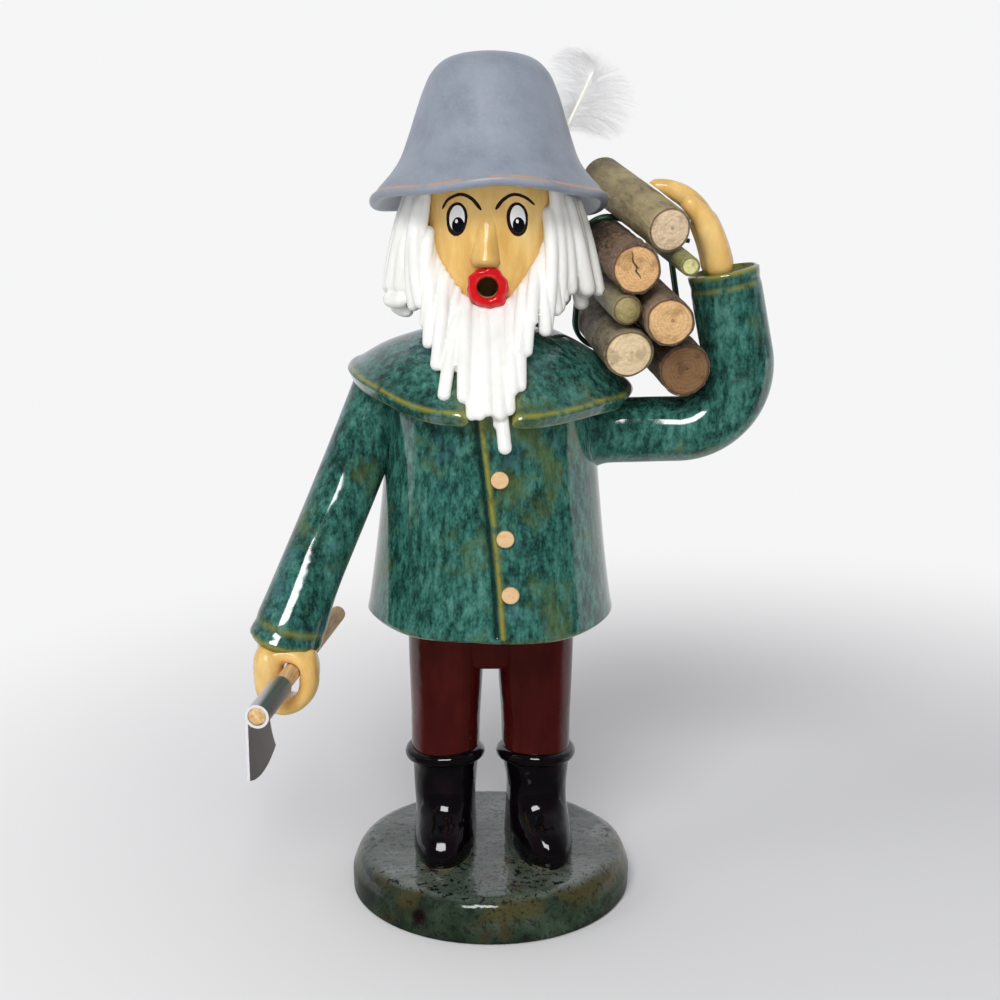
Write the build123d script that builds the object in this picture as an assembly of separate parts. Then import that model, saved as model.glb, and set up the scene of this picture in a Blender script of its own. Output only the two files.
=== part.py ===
from build123d import *
import math
import os

# A glazed clay woodcutter that burns an incense cone under the jacket and blows the smoke from the mouth.
# Frame: +Z up, origin under the middle of the plinth. The figure faces -Y, so its own left is +X.
# Lengths are millimetres, angles degrees. "Drop" and "rise" are heights from the neck joint.

# Plinth
PLINTH_RADIUS = 51.0
PLINTH_HEIGHT = 15.6
PLINTH_TOP_ROUND = 6.5
PLINTH_FOOT_ROUND = 2.5
CRATER_RADIUS = 2.6
CRATER_ANGLE = 30.0

# Boots and legs
LEG_SPACING = 33.0
BOOT_HEIGHT = 34.0
BOOT_WIDTH = 24.6
BOOT_TOE_REACH = 26.3
BOOT_HEEL_REACH = 12.5
TOE_OUT_LEFT = 14.0
TOE_OUT_RIGHT = 3.0
CUFF_THICKNESS = 5.2
CUFF_PROUD = 1.9
LEG_FOOT_RADIUS = 12.4
LEG_TOP_RADIUS = 13.3
LEG_HEIGHT = 46.0
CROTCH_DEPTH = 16.0
HIP_HEIGHT = 16.6

# Burner plate and cone
PLATE_THICKNESS = 4.8
PLATE_CLEARANCE = 1.0
ASH_WELL_RADIUS = 13.0
ASH_WELL_DEPTH = 1.6
AIR_NOTCHES = 6
AIR_NOTCH_RADIUS = 4.0
CONE_RADIUS = 5.6
CONE_HEIGHT = 24.0
CONE_TIP_RADIUS = 0.8

# Jacket, a hollow bell that stands on the burner plate
SKIRT_DROP = 11.8
TORSO_HEIGHT = 89.0
HEM_RADIUS = 43.6
SEAT_RADIUS = 42.0
CHEST_RADIUS = 37.2
CHEST_HEIGHT = 42.0
SHOULDER_RADIUS = 34.2
SHOULDER_HEIGHT = 68.0
NECK_RADIUS = 17.0
CLAY_WALL = 4.5
LEDGE_WIDTH = 4.5
NECK_BORE = 9.0
PLACKET_WIDTH = 1.3
PLACKET_DEPTH = 1.0
PLACKET_OFFSET = -2.2
PLACKET_LEAN = 5.2
BUTTON_RADIUS = 2.95
BUTTON_THICKNESS = 1.8
BUTTON_DROPS = {"button_top": 45.5, "button_middle": 65.1, "button_bottom": 83.7}
BUTTON_INSET = 5.6

# Collar, a cape slit open under the beard
COLLAR_THICKNESS = 4.6
COLLAR_HALF_WIDTH = 48.2
COLLAR_HALF_DEPTH = 43.0
COLLAR_SIDE_DROP = 18.5
COLLAR_DIP = 8.0
COLLAR_ROLL = 3.1
COLLAR_BULGE = 1.2
COLLAR_NECK_RADIUS = 17.6
COLLAR_SLIT_LEFT = 10.0
COLLAR_SLIT_RIGHT = 9.0
COLLAR_SECTIONS = 13

# Hanging right arm with its curled hand
ARM_ROOT = (-37.5, 0.0, -21.0)
ARM_BOW = (-52.0, -9.0, -60.0)
ARM_CUFF = (-70.2, -31.0, -100.5)
ARM_ROOT_RADIUS = 11.0
ARM_CUFF_RADIUS = 11.0
ARM_SECTIONS = 6
FIST_CENTRE = (-68.2, -40.5, -113.6)
FIST_RADIUS = 11.2
WRIST_RADIUS = 9.4
SLOT_TURN = 245.0
SLOT_LENGTH = 6.5

# Axe
HANDLE_REAR = (-57.0, 25.0, -109.9)
HANDLE_FRONT = (-72.1, -82.8, -110.6)
HANDLE_RADIUS = 2.95
HANDLE_CLEARANCE = 0.3
SOCKET_LENGTH = 27.0
SHEET_THICKNESS = 0.9
BLADE_TOP_WIDTH = 23.0
BLADE_EDGE_WIDTH = 30.0
BLADE_DEPTH = 21.5
BLADE_EDGE_SAG = 3.0

# Raised left arm with its open hand
LIFT_ROOT = (24.0, 0.0, -36.0)
LIFT_ELBOW = (91.5, 0.0, -34.8)
LIFT_CUFF = (80.4, 0.0, 20.0)
LIFT_RADIUS = 11.4
ELBOW_BEND = 22.0
PALM_ROOT_RADIUS = 6.9
PALM_RADIUS = 5.9
FINGER_RADIUS = 3.3
FINGERTIP_RADIUS = 2.5
NEAR_KNUCKLE_RADIUS = 4.3
FAR_KNUCKLE_RADIUS = 5.0
FINGER_CLEARANCE = 0.4
# Joints of the open hand, from the middle of the cuff
WRIST = (-2.4, 0.0, 1.5)
KNUCKLES = (-9.6, 0.0, 18.0)
NEAR_KNUCKLE = (-9.1, -5.6, 18.0)
NEAR_TIP = (-15.4, -6.2, 23.4)
FAR_KNUCKLE = (-10.6, 2.6, 19.2)
FAR_BEND = (-19.9, 2.6, 27.6)
FAR_TIP = (-26.4, 2.6, 27.4)

# Head
HEAD_RADIUS = 24.0
CHIN_RADIUS = 14.5
HEAD_HEIGHT = 49.0
HEAD_TOP_RISE = 70.0
HEAD_WALL = 3.6
MOUTH_RISE = 16.0
MOUTH_SHIFT = -0.7
MOUTH_RADIUS = 3.5
LIP_OUTER_RADIUS = 6.9
LIP_PROUD = 3.2
NOSE_TOP_RISE = 39.0
NOSE_TIP_RISE = 23.5
NOSE_HALF_WIDTH = 5.2
NOSE_PROUD = 7.0
NOSE_SHIFT = -1.6

# Hat
HAT_PIVOT_RISE = 44.6
HAT_TILT = 10.0
HAT_HEIGHT = 47.0
HAT_TOP_RADIUS = 19.6
HAT_CROWN_RADIUS = 30.2
HAT_BRIM_RADIUS = 39.6
HAT_WALL = 3.6

# Hair and beard, rolled strands of clay over a backing
HAIR_THICKNESS = 5.2
HAIR_TOP_RISE = 54.0
HAIR_HEM_RISE = 18.0
HAIR_FRONT_ANGLE = 53.0
HAIR_REAR_ANGLE = 112.0
STRAND_RADIUS = 2.6
STRAND_TIP_RADIUS = 2.2
BEARD_THICKNESS = 5.0
SEAM = 0.05
# Each strand of hair: angle of its root, angle of its tip, how far the tip stands out, rise of the tip
RIGHT_STRANDS = [
    (58, 52, -1.0, 9.0),
    (68, 66, 1.5, 6.5),
    (78, 80, 4.5, 10.0),
    (90, 92, 3.0, 7.0),
    (104, 104, 2.0, 9.0),
]
LEFT_STRANDS = [
    (58, 50, -1.5, 5.0),
    (66, 64, 1.0, 4.0),
    (74, 72, 4.0, 11.0),
    (82, 80, 5.0, 9.5),
    (100, 98, 1.0, 8.0),
]
# Each strand of the beard: root across and rise, then tip across, forward and rise
BEARD_STRANDS = [
    (-16.5, 27.0, -17.0, -27.0, 3.0),
    (-13.5, 19.0, -14.5, -36.0, -8.5),
    (-10.5, 15.0, -13.0, -41.5, -17.5),
    (-7.0, 12.0, -6.8, -45.0, -22.0),
    (-3.0, 10.0, -2.5, -46.0, -22.5),
    (0.5, 10.0, 5.4, -47.0, -32.0),
    (4.0, 11.0, 6.5, -45.0, -19.5),
    (7.5, 13.0, 9.5, -40.5, -12.0),
    (11.5, 18.0, 12.0, -35.0, -3.0),
    (15.0, 23.0, 16.0, -31.0, 2.5),
    (17.5, 27.0, 20.5, -26.0, 4.0),
]

# Feather
QUILL_RADIUS = 0.8
QUILL_TIP_RADIUS = 0.35
QUILL_ROOT = (24.9, 3.7, 65.0)
QUILL_TIP = (35.5, 9.5, 87.0)
VANE_THICKNESS = 2.4
# Outline of the plume from the root of the quill: across and up
VANE_OUTLINE = [
    (6.5, 5.0), (-2.9, 22.5), (-5.9, 27.5), (2.1, 29.3), (12.6, 25.5), (21.6, 19.0), (26.6, 9.5), (23.6, -0.5),
    (14.1, -3.5),
]

# Wood bundle
BUNDLE_AXIS = (-0.12, 0.985, 0.09)
TOP_LOG_AXIS = (-0.325, 0.914, 0.25)
BUNDLE_FRONT_Y = -22.0
BUNDLE_LIFT = 2.2
BUNDLE_INSET = -5.8
BUNDLE_DRAW = 60.0
TOP_LOG_REACH = 24.0
LOG_LENGTH = 60.0
LOG_GAP = 0.4
LOG_RADII = {
    "log_1": 7.8, "log_2": 8.2, "log_3": 8.2, "log_4": 8.3, "log_5": 8.8, "twig_1": 3.4, "twig_2": 5.2,
}
LOG_STARTS = {
    "log_1": 10.5, "log_2": 0.5, "log_3": -4.0, "log_4": 0.0, "log_5": 3.5, "twig_1": 1.0, "twig_2": 1.5,
}
LOG_BACKS = {
    "log_1": 10.5, "log_2": 1.5, "log_3": -2.0, "log_4": 3.0, "log_5": 0.0, "twig_1": -1.5, "twig_2": 2.0,
}
BOTTOM_LOGS_APART = 4.2
BOTTOM_LOGS_STEP = 7.3
LOG_3_LIFT = 2.6
TWIG_2_LIFT = 1.0
LOG_2_TURN = 80.0
LOG_1_TURN = 41.0
LOG_1_LIFT = 1.0
TWIG_1_TURN = -63.5
WIRE_RADIUS = 0.85
WIRE_SLACK = 0.2
WIRE_TURNS = 2
WIRE_PITCH = 2.9
WIRE_PLACE = 49.0
WIRE_TAIL = 7.0
WIRE_TAIL_SIDE = 20

# Heights that follow from the stack of pieces
BOOT_TOP = PLINTH_HEIGHT + BOOT_HEIGHT
LEG_TOP = BOOT_TOP + LEG_HEIGHT
PLATE_BOTTOM = LEG_TOP + HIP_HEIGHT
SEAT_Z = PLATE_BOTTOM + PLATE_THICKNESS
NECK_Z = SEAT_Z + TORSO_HEIGHT
SIDES = {"left": 1, "right": -1}


def raised(point):
    """A place given from the neck joint, in the part's own frame."""
    return Vector(point[0], point[1], NECK_Z + point[2])


def spun(edges):
    """The solid that a profile in the XZ plane sweeps round the Z axis."""
    return revolve(make_face(edges), Axis.Z)


def flat(radius, height):
    """A profile point in the XZ plane."""
    return (radius, 0, height)


def rolled(start, end, start_radius, end_radius):
    """A rolled strand of clay: a straight taper between two round ends."""
    axis = Vector(end) - Vector(start)
    length = axis.length
    lean = math.asin((start_radius - end_radius) / length)

    def on_ball(radius, middle, angle):
        return flat(radius * math.cos(angle), middle + radius * math.sin(angle))

    quarter = math.pi / 2
    low = ThreePointArc(
        on_ball(start_radius, 0, -quarter),
        on_ball(start_radius, 0, (lean - quarter) / 2),
        on_ball(start_radius, 0, lean),
    )
    high = ThreePointArc(
        on_ball(end_radius, length, lean),
        on_ball(end_radius, length, (lean + quarter) / 2),
        on_ball(end_radius, length, quarter),
    )
    edges = [low, Line(low @ 1, high @ 0), high, Line(high @ 1, low @ 0)]
    return Plane(origin=Vector(start), z_dir=axis) * spun(edges)


def main_solid(shape):
    """The largest solid of a cut, without the crumbs that a cut leaves inside a hollow."""
    return max(shape.solids(), key=lambda solid: solid.volume)


def inset(points, wall):
    """Profile points moved inward by a wall, square to the profile."""
    moved = []
    for index, (radius, height) in enumerate(points):
        before = points[max(index - 1, 0)]
        after = points[min(index + 1, len(points) - 1)]
        along = Vector(after[0] - before[0], after[1] - before[1]).normalized()
        moved.append((radius - wall * along.Y, height + wall * along.X))
    return moved


def make_plinth():
    disc = Pos(0, 0, PLINTH_HEIGHT / 2) * Cylinder(PLINTH_RADIUS, PLINTH_HEIGHT)
    rims = disc.edges().filter_by(GeomType.CIRCLE).sort_by(Axis.Z)
    disc = fillet(rims[-1], PLINTH_TOP_ROUND)
    disc = fillet(disc.edges().filter_by(GeomType.CIRCLE).sort_by(Axis.Z)[0], PLINTH_FOOT_ROUND)
    crater = Rot(0, 0, -CRATER_ANGLE) * Pos(0, -PLINTH_RADIUS - CRATER_RADIUS / 2, PLINTH_HEIGHT / 2)
    return disc - crater * Sphere(CRATER_RADIUS)


def make_boot(side, toe_out):
    """Rounded foot that runs up into a straight shaft."""
    shaft = LEG_FOOT_RADIUS + CUFF_PROUD / 2
    half_width = BOOT_WIDTH / 2
    ankle = (half_width + BOOT_HEEL_REACH) / 2
    foot_length = (BOOT_TOE_REACH + BOOT_HEEL_REACH) / 2
    foot_middle = (BOOT_HEEL_REACH - BOOT_TOE_REACH) / 2
    sections = [
        (0.00, foot_middle, half_width, foot_length),
        (0.17, foot_middle * 1.02, half_width + 0.5, foot_length),
        (0.36, foot_middle * 0.62, half_width - 0.3, foot_length * 0.84),
        (0.58, foot_middle * 0.12, half_width - 0.5, ankle),
        (1.00, 0.0, shaft, shaft),
    ]
    outlines = [
        Pos(0, middle, share * BOOT_HEIGHT) * Ellipse(across, along)
        for share, middle, across, along in sections
    ]
    place = Pos(side * LEG_SPACING / 2, 0, PLINTH_HEIGHT) * Rot(0, 0, side * toe_out)
    return place * loft(outlines)


def leg_radius(height):
    """Radius of a trouser leg at a height above the boot."""
    return LEG_FOOT_RADIUS + (LEG_TOP_RADIUS - LEG_FOOT_RADIUS) * height / LEG_HEIGHT


def make_leg(side):
    leg = Cone(LEG_FOOT_RADIUS, LEG_TOP_RADIUS, LEG_HEIGHT)
    return Pos(side * LEG_SPACING / 2, 0, BOOT_TOP + LEG_HEIGHT / 2) * leg


def make_cuff(side, leg):
    """Rolled boot top: a ring seated on the shaft, round the leg."""
    ring = Torus(LEG_FOOT_RADIUS + CUFF_PROUD - CUFF_THICKNESS / 2, CUFF_THICKNESS / 2)
    ring = Pos(side * LEG_SPACING / 2, 0, BOOT_TOP + CUFF_THICKNESS * 0.4) * ring
    below = Pos(side * LEG_SPACING / 2, 0, BOOT_TOP - CUFF_THICKNESS) * Cylinder(
        2 * LEG_TOP_RADIUS, 2 * CUFF_THICKNESS
    )
    return main_solid(ring - leg - below)


def make_hip(legs):
    """Seat of the trousers: a rounded block over both legs, with a web down to the crotch."""
    round_off = LEG_TOP_RADIUS + 0.2
    block = extrude(Plane.XY.offset(LEG_TOP) * SlotCenterToCenter(LEG_SPACING, 2 * round_off), HIP_HEIGHT)
    web = Box(LEG_SPACING, 0.8 * LEG_TOP_RADIUS, CROTCH_DEPTH)
    web = Pos(0, 0, LEG_TOP - CROTCH_DEPTH / 2) * web
    gap = LEG_SPACING / 2 - leg_radius(LEG_HEIGHT - CROTCH_DEPTH)
    arch = Pos(0, 0, LEG_TOP - CROTCH_DEPTH) * Rot(90, 0, 0) * Cylinder(1.3 * gap, 4 * LEG_TOP_RADIUS)
    hip = block + (web - arch)
    for leg in legs:
        hip = hip - leg
    return main_solid(hip)


def make_burner_plate():
    """Plate on the hips, with a shallow well for the ash and air notches in its rim."""
    radius = SEAT_RADIUS - CLAY_WALL - PLATE_CLEARANCE
    plate = Pos(0, 0, PLATE_BOTTOM + PLATE_THICKNESS / 2) * Cylinder(radius, PLATE_THICKNESS)
    plate = plate - Pos(0, 0, SEAT_Z) * Cylinder(ASH_WELL_RADIUS, 2 * ASH_WELL_DEPTH)
    notch = Cylinder(AIR_NOTCH_RADIUS, 3 * PLATE_THICKNESS)
    ledge_edge = radius + PLATE_CLEARANCE - LEDGE_WIDTH
    for spot in PolarLocations(ledge_edge - AIR_NOTCH_RADIUS / 3, AIR_NOTCHES, 360 / AIR_NOTCHES / 2):
        plate = plate - Pos(0, 0, SEAT_Z) * spot * notch
    return plate


def make_cone():
    cone = Cone(CONE_RADIUS, CONE_TIP_RADIUS, CONE_HEIGHT)
    return Pos(0, 0, SEAT_Z - ASH_WELL_DEPTH + CONE_HEIGHT / 2) * cone


def jacket_profile():
    """Outer profile from the hem to the neck."""
    return [
        (HEM_RADIUS, SEAT_Z - SKIRT_DROP),
        (SEAT_RADIUS, SEAT_Z),
        (CHEST_RADIUS, SEAT_Z + CHEST_HEIGHT),
        (SHOULDER_RADIUS, SEAT_Z + SHOULDER_HEIGHT),
        (NECK_RADIUS, NECK_Z),
    ]


def jacket_core(skin):
    """The jacket as a full body, its skin taken off to a depth."""
    points = inset(jacket_profile(), skin)
    side = Spline(*[flat(*point) for point in points])
    top = Line(side @ 1, flat(0, points[-1][1]))
    middle = Line(top @ 1, flat(0, points[0][1]))
    return spun([side, top, middle, Line(middle @ 1, side @ 0)])


def make_jacket():
    outer = jacket_profile()
    inner = inset(outer, CLAY_WALL)
    hem_z = outer[0][1]
    inner[0] = (inner[0][0], hem_z)
    outside = Spline(*[flat(*point) for point in outer])
    inside = Spline(*[flat(*point) for point in reversed(inner)])
    neck = Polyline(
        outside @ 1, flat(NECK_BORE, NECK_Z), flat(NECK_BORE, inner[-1][1]), inside @ 0
    )
    shell = spun([outside, *neck.edges(), inside, Line(inside @ 1, outside @ 0)])
    wall_middle = SEAT_RADIUS - CLAY_WALL / 2
    lip = SEAT_RADIUS - CLAY_WALL - LEDGE_WIDTH
    ledge = Polyline(
        flat(wall_middle, SEAT_Z), flat(lip, SEAT_Z), flat(lip, SEAT_Z + LEDGE_WIDTH / 2),
        flat(wall_middle, SEAT_Z + 2 * LEDGE_WIDTH), close=True,
    )
    jacket = shell + spun(ledge.edges())
    slab = Box(PLACKET_WIDTH, HEM_RADIUS, 2 * TORSO_HEIGHT)
    slab = Pos(PLACKET_OFFSET, -HEM_RADIUS, SEAT_Z + CHEST_HEIGHT) * Rot(0, -PLACKET_LEAN, 0) * slab
    return main_solid(jacket - (slab - jacket_core(PLACKET_DEPTH)))


def make_button(core, bed, drop):
    """A slice of dowel, bedded on the jacket front to the left of the placket."""
    height = NECK_Z - drop
    lean = math.tan(math.radians(PLACKET_LEAN))
    across = PLACKET_OFFSET + BUTTON_INSET - lean * (height - SEAT_Z - CHEST_HEIGHT)
    sight = Axis((across, -3 * HEM_RADIUS, height), (0, 1, 0))
    place, normal = min(core.find_intersection_points(sight), key=lambda hit: hit[0].Y)
    outward = normal if normal.Y < 0 else -normal
    disc = Plane(origin=place, z_dir=outward) * Cylinder(BUTTON_RADIUS, 2 * BUTTON_THICKNESS)
    return main_solid(disc - bed)


def collar_section(angle):
    """Cross-section of the collar in the upright plane at an angle from the front."""
    across = math.sin(math.radians(angle))
    along = math.cos(math.radians(angle))
    reach = 1 / math.hypot(across / COLLAR_HALF_WIDTH, along / COLLAR_HALF_DEPTH)
    drop = COLLAR_SIDE_DROP + COLLAR_DIP * along**2 + COLLAR_ROLL * across
    half = COLLAR_THICKNESS / 2
    neck = Vector(COLLAR_NECK_RADIUS, NECK_Z - half / 2)
    rim = Vector(reach, NECK_Z - drop)
    down = (rim - neck).normalized()
    up = Vector(-down.Y, down.X)
    rim = rim - down * half
    middle = (neck + rim) / 2 + up * COLLAR_BULGE
    plane = Plane(origin=(0, 0, 0), x_dir=(across, -along, 0), z_dir=(-along, -across, 0))

    def place(point):
        return plane.from_local_coords((point.X, point.Y, 0))

    top = ThreePointArc(place(neck + up * half), place(middle + up * half), place(rim + up * half))
    edge = ThreePointArc(top @ 1, place(rim + down * half), place(rim - up * half))
    under = ThreePointArc(edge @ 1, place(middle - up * half), place(neck - up * half))
    return make_face([top, edge, under, Line(under @ 1, top @ 0)])


def make_collar(core):
    span = 360 - COLLAR_SLIT_LEFT - COLLAR_SLIT_RIGHT
    step = span / (COLLAR_SECTIONS - 1)
    sections = [collar_section(COLLAR_SLIT_LEFT + step * index) for index in range(COLLAR_SECTIONS)]
    return main_solid(loft(sections) - core)


def make_right_sleeve(core, collar):
    """Hanging sleeve: round sections along a bowed line from shoulder to cuff."""
    path = Bezier(raised(ARM_ROOT), raised(ARM_BOW), raised(ARM_CUFF))
    rings = []
    for index in range(ARM_SECTIONS):
        share = index / (ARM_SECTIONS - 1)
        radius = ARM_ROOT_RADIUS + (ARM_CUFF_RADIUS - ARM_ROOT_RADIUS) * share
        rings.append(Plane(origin=path @ share, z_dir=path % share) * Circle(radius))
    return main_solid(loft(rings) - core - collar)


def handle_plane():
    """Plane across the axe handle at the fist, its Z along the handle to the front."""
    rear = raised(HANDLE_REAR)
    along = (raised(HANDLE_FRONT) - rear).normalized()
    reach = (raised(FIST_CENTRE) - rear).dot(along)
    return Plane(origin=rear + along * reach, x_dir=(1, 0, 0), z_dir=along)


def make_right_hand(sleeve):
    """A hand curled to a ring, with a slot that the axe handle passes through."""
    centre = raised(FIST_CENTRE)
    fist = Pos(*centre) * Sphere(FIST_RADIUS)
    fist = fist + rolled(raised(ARM_CUFF), centre, WRIST_RADIUS, FIST_RADIUS * 0.95)
    width = 2 * (HANDLE_RADIUS + HANDLE_CLEARANCE)
    turn = math.radians(SLOT_TURN)
    slot = Pos(SLOT_LENGTH / 2 * math.cos(turn), SLOT_LENGTH / 2 * math.sin(turn))
    slot = slot * Rot(0, 0, SLOT_TURN) * SlotCenterToCenter(SLOT_LENGTH, width)
    slot = extrude(handle_plane() * slot, 3 * FIST_RADIUS, both=True)
    return main_solid(fist - sleeve - slot)


def make_axe_handle():
    front = raised(HANDLE_FRONT)
    along = raised(HANDLE_REAR) - front
    rod = Cylinder(HANDLE_RADIUS, along.length, align=(Align.CENTER, Align.CENTER, Align.MIN))
    return Plane(origin=front, z_dir=along) * rod


def make_axe_blade():
    """Sheet rolled round the front of the handle, its leaf hanging from the outer side."""
    front = raised(HANDLE_FRONT)
    along = (raised(HANDLE_REAR) - front).normalized()
    bore = HANDLE_RADIUS
    outer = bore + SHEET_THICKNESS
    socket = extrude(Plane(origin=front, z_dir=along) * (Circle(outer) - Circle(bore)), SOCKET_LENGTH)
    side = along.cross(Vector(0, 0, 1)).normalized()
    leaf_plane = Plane(origin=front + side * -bore, x_dir=along, z_dir=side)
    tip = Vector(0, -BLADE_DEPTH)
    heel = Vector(BLADE_EDGE_WIDTH, -BLADE_DEPTH)
    sag = Vector(BLADE_EDGE_WIDTH * 0.42, -BLADE_DEPTH - BLADE_EDGE_SAG)
    waist = Vector(BLADE_TOP_WIDTH + 1.0, -BLADE_DEPTH * 0.45)
    front_edge = Line((0, 0), tip)
    edge = ThreePointArc(tip, sag, heel)
    back_edge = ThreePointArc(heel, waist, (BLADE_TOP_WIDTH, 0))
    leaf = make_face([front_edge, edge, back_edge, Line(back_edge @ 1, front_edge @ 0)])
    leaf = extrude(leaf_plane * leaf, -SHEET_THICKNESS)
    return socket + leaf


def make_left_sleeve(core, collar):
    """Raised sleeve: out from the shoulder, round the elbow and up."""
    path = FilletPolyline(raised(LIFT_ROOT), raised(LIFT_ELBOW), raised(LIFT_CUFF), radius=ELBOW_BEND)
    ring = Plane(origin=path @ 0, z_dir=path % 0) * Circle(LIFT_RADIUS)
    return main_solid(sweep(ring, path=path) - core - collar)


def make_left_hand(cutters):
    """Open hand: a palm rising from the cuff and two fingers laid over the top log."""
    cuff = raised(LIFT_CUFF)
    wrist = cuff + Vector(*WRIST)
    near_wrist = wrist + Vector(0, NEAR_KNUCKLE[1] / 3, 0)
    knuckles = cuff + Vector(*KNUCKLES)
    near_knuckle = cuff + Vector(*NEAR_KNUCKLE)
    near_tip = cuff + Vector(*NEAR_TIP)
    far_knuckle = cuff + Vector(*FAR_KNUCKLE)
    far_bend = cuff + Vector(*FAR_BEND)
    far_tip = cuff + Vector(*FAR_TIP)
    hand = rolled(wrist, knuckles, PALM_ROOT_RADIUS, PALM_RADIUS)
    hand = hand + rolled(near_wrist, near_knuckle, PALM_ROOT_RADIUS, NEAR_KNUCKLE_RADIUS)
    hand = hand + rolled(near_knuckle, near_tip, NEAR_KNUCKLE_RADIUS, FINGERTIP_RADIUS)
    hand = hand + rolled(far_knuckle, far_bend, FAR_KNUCKLE_RADIUS, FINGER_RADIUS)
    hand = hand + rolled(far_bend, far_tip, FINGER_RADIUS, FINGERTIP_RADIUS)
    for cutter in cutters:
        hand = hand - cutter
    return main_solid(hand)


def head_profile(skin):
    """Profile of the head from the neck joint up into the hat, its skin taken off to a depth."""
    points = [
        (CHIN_RADIUS, NECK_Z),
        (CHIN_RADIUS + (HEAD_RADIUS - CHIN_RADIUS) * 0.62, NECK_Z + HEAD_HEIGHT * 0.3),
        (HEAD_RADIUS - 0.4, NECK_Z + HEAD_HEIGHT * 0.66),
        (HEAD_RADIUS, NECK_Z + HEAD_HEIGHT),
        (HEAD_RADIUS - 1.0, NECK_Z + HEAD_TOP_RISE),
    ]
    return Spline(*[flat(radius - skin, height) for radius, height in points])


def head_core(skin):
    side = head_profile(skin)
    top = Line(side @ 1, flat(0, NECK_Z + HEAD_TOP_RISE))
    middle = Line(top @ 1, flat(0, NECK_Z))
    return spun([side, top, middle, Line(middle @ 1, side @ 0)])


def face_reach(core, across, height):
    """How far forward the face lies at a place."""
    sight = Axis((across, -3 * HEAD_RADIUS, height), (0, 1, 0))
    hits = core.find_intersection_points(sight)
    return min(hits, key=lambda hit: hit[0].Y)[0].Y


def mouth_plane(core):
    """Plane at the middle of the mouth, its Z straight out of the face."""
    height = NECK_Z + MOUTH_RISE
    middle = (MOUTH_SHIFT, face_reach(core, MOUTH_SHIFT, height), height)
    return Plane(origin=middle, x_dir=(1, 0, 0), z_dir=(0, -1, 0))


def make_head(core, hat):
    """Hollow head: open to the jacket below, closed by the hat above, with the mouth bored through."""
    hollow = head_core(HEAD_WALL)
    bore = mouth_plane(core) * Cylinder(MOUTH_RADIUS, 2 * HEAD_RADIUS)
    foot = Pos(0, 0, NECK_Z) * Cylinder(NECK_BORE, HEAD_WALL * 2)
    return main_solid(core - hollow - foot - bore - hat)


def make_lips(core):
    """A ring of clay pressed on round the smoke hole."""
    thick = (LIP_OUTER_RADIUS - MOUTH_RADIUS) / 2
    ring = Torus((LIP_OUTER_RADIUS + MOUTH_RADIUS) / 2, thick)
    bed = Cylinder(LIP_OUTER_RADIUS, 2 * LIP_PROUD) - Cylinder(MOUTH_RADIUS, 4 * LIP_PROUD)
    bed = Pos(0, 0, LIP_PROUD - thick) * Pos(0, 0, -LIP_PROUD) * bed
    ring = Pos(0, 0, LIP_PROUD - thick) * ring + bed
    lips = mouth_plane(core) * ring
    bore = mouth_plane(core) * Cylinder(MOUTH_RADIUS, 2 * HEAD_RADIUS)
    return main_solid(lips - core - bore)


def make_nose(core, lips):
    """A pinched wedge, wide and square at the tip."""
    top = NECK_Z + NOSE_TOP_RISE
    tip = NECK_Z + NOSE_TIP_RISE
    bridge_y = face_reach(core, NOSE_SHIFT, top)
    tip_y = face_reach(core, NOSE_SHIFT, tip) - NOSE_PROUD
    depth = 2 * NOSE_PROUD
    upper = Pos(NOSE_SHIFT + 1.0, bridge_y + NOSE_PROUD - 0.6, top)
    upper = upper * RectangleRounded(0.7 * NOSE_HALF_WIDTH, depth, 1.2)
    lower = Pos(NOSE_SHIFT, tip_y + NOSE_PROUD, tip) * RectangleRounded(2 * NOSE_HALF_WIDTH, depth, 2.4)
    return main_solid(loft([lower, upper]) - core - lips)


def make_hat():
    """Bell-shaped felt hat thrown as a shell, set a little back on the head."""
    outer = [
        (HAT_BRIM_RADIUS, 0.6),
        (HAT_CROWN_RADIUS + 3.0, HAT_HEIGHT * 0.155),
        (HAT_CROWN_RADIUS, HAT_HEIGHT * 0.257),
        ((HAT_CROWN_RADIUS + HAT_TOP_RADIUS) / 2, HAT_HEIGHT * 0.59),
        (HAT_TOP_RADIUS, HAT_HEIGHT * 0.875),
        (HAT_TOP_RADIUS * 0.72, HAT_HEIGHT * 0.965),
        (0, HAT_HEIGHT),
    ]
    inner = inset(outer, HAT_WALL)
    inner[0] = (HAT_BRIM_RADIUS - 1.2, 0.6 - HAT_WALL)
    inner[-1] = (0, HAT_HEIGHT - HAT_WALL)
    outside = Spline(*[flat(*point) for point in outer], tangents=[(-1, 0, 0.5), (-1, 0, 0)])
    inside = Spline(*[flat(*point) for point in reversed(inner)], tangents=[(1, 0, 0), (1, 0, -0.5)])
    rim_out = HAT_BRIM_RADIUS + HAT_WALL * 0.35
    rim = ThreePointArc(inside @ 1, flat(rim_out, 0.6 - HAT_WALL / 2), outside @ 0)
    shell = spun([outside, Line(outside @ 1, inside @ 0), inside, rim])
    return Pos(0, 0, NECK_Z + HAT_PIVOT_RISE) * Rot(-HAT_TILT, 0, 0) * shell


def hair_backing(first, last, low_rise):
    """A sector of thick hair round the head between two angles from the front."""
    inner = HEAD_RADIUS - HEAD_WALL
    outer = HEAD_RADIUS + HAIR_THICKNESS
    high = NECK_Z + HAIR_TOP_RISE
    low = NECK_Z + low_rise
    wall = Polyline(
        flat(inner, low), flat(outer, low + HAIR_THICKNESS), flat(outer, high), flat(inner, high), close=True
    )
    wedge = revolve(make_face(wall.edges()), Axis.Z, last - first)
    return Rot(0, 0, first - 90) * wedge


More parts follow.
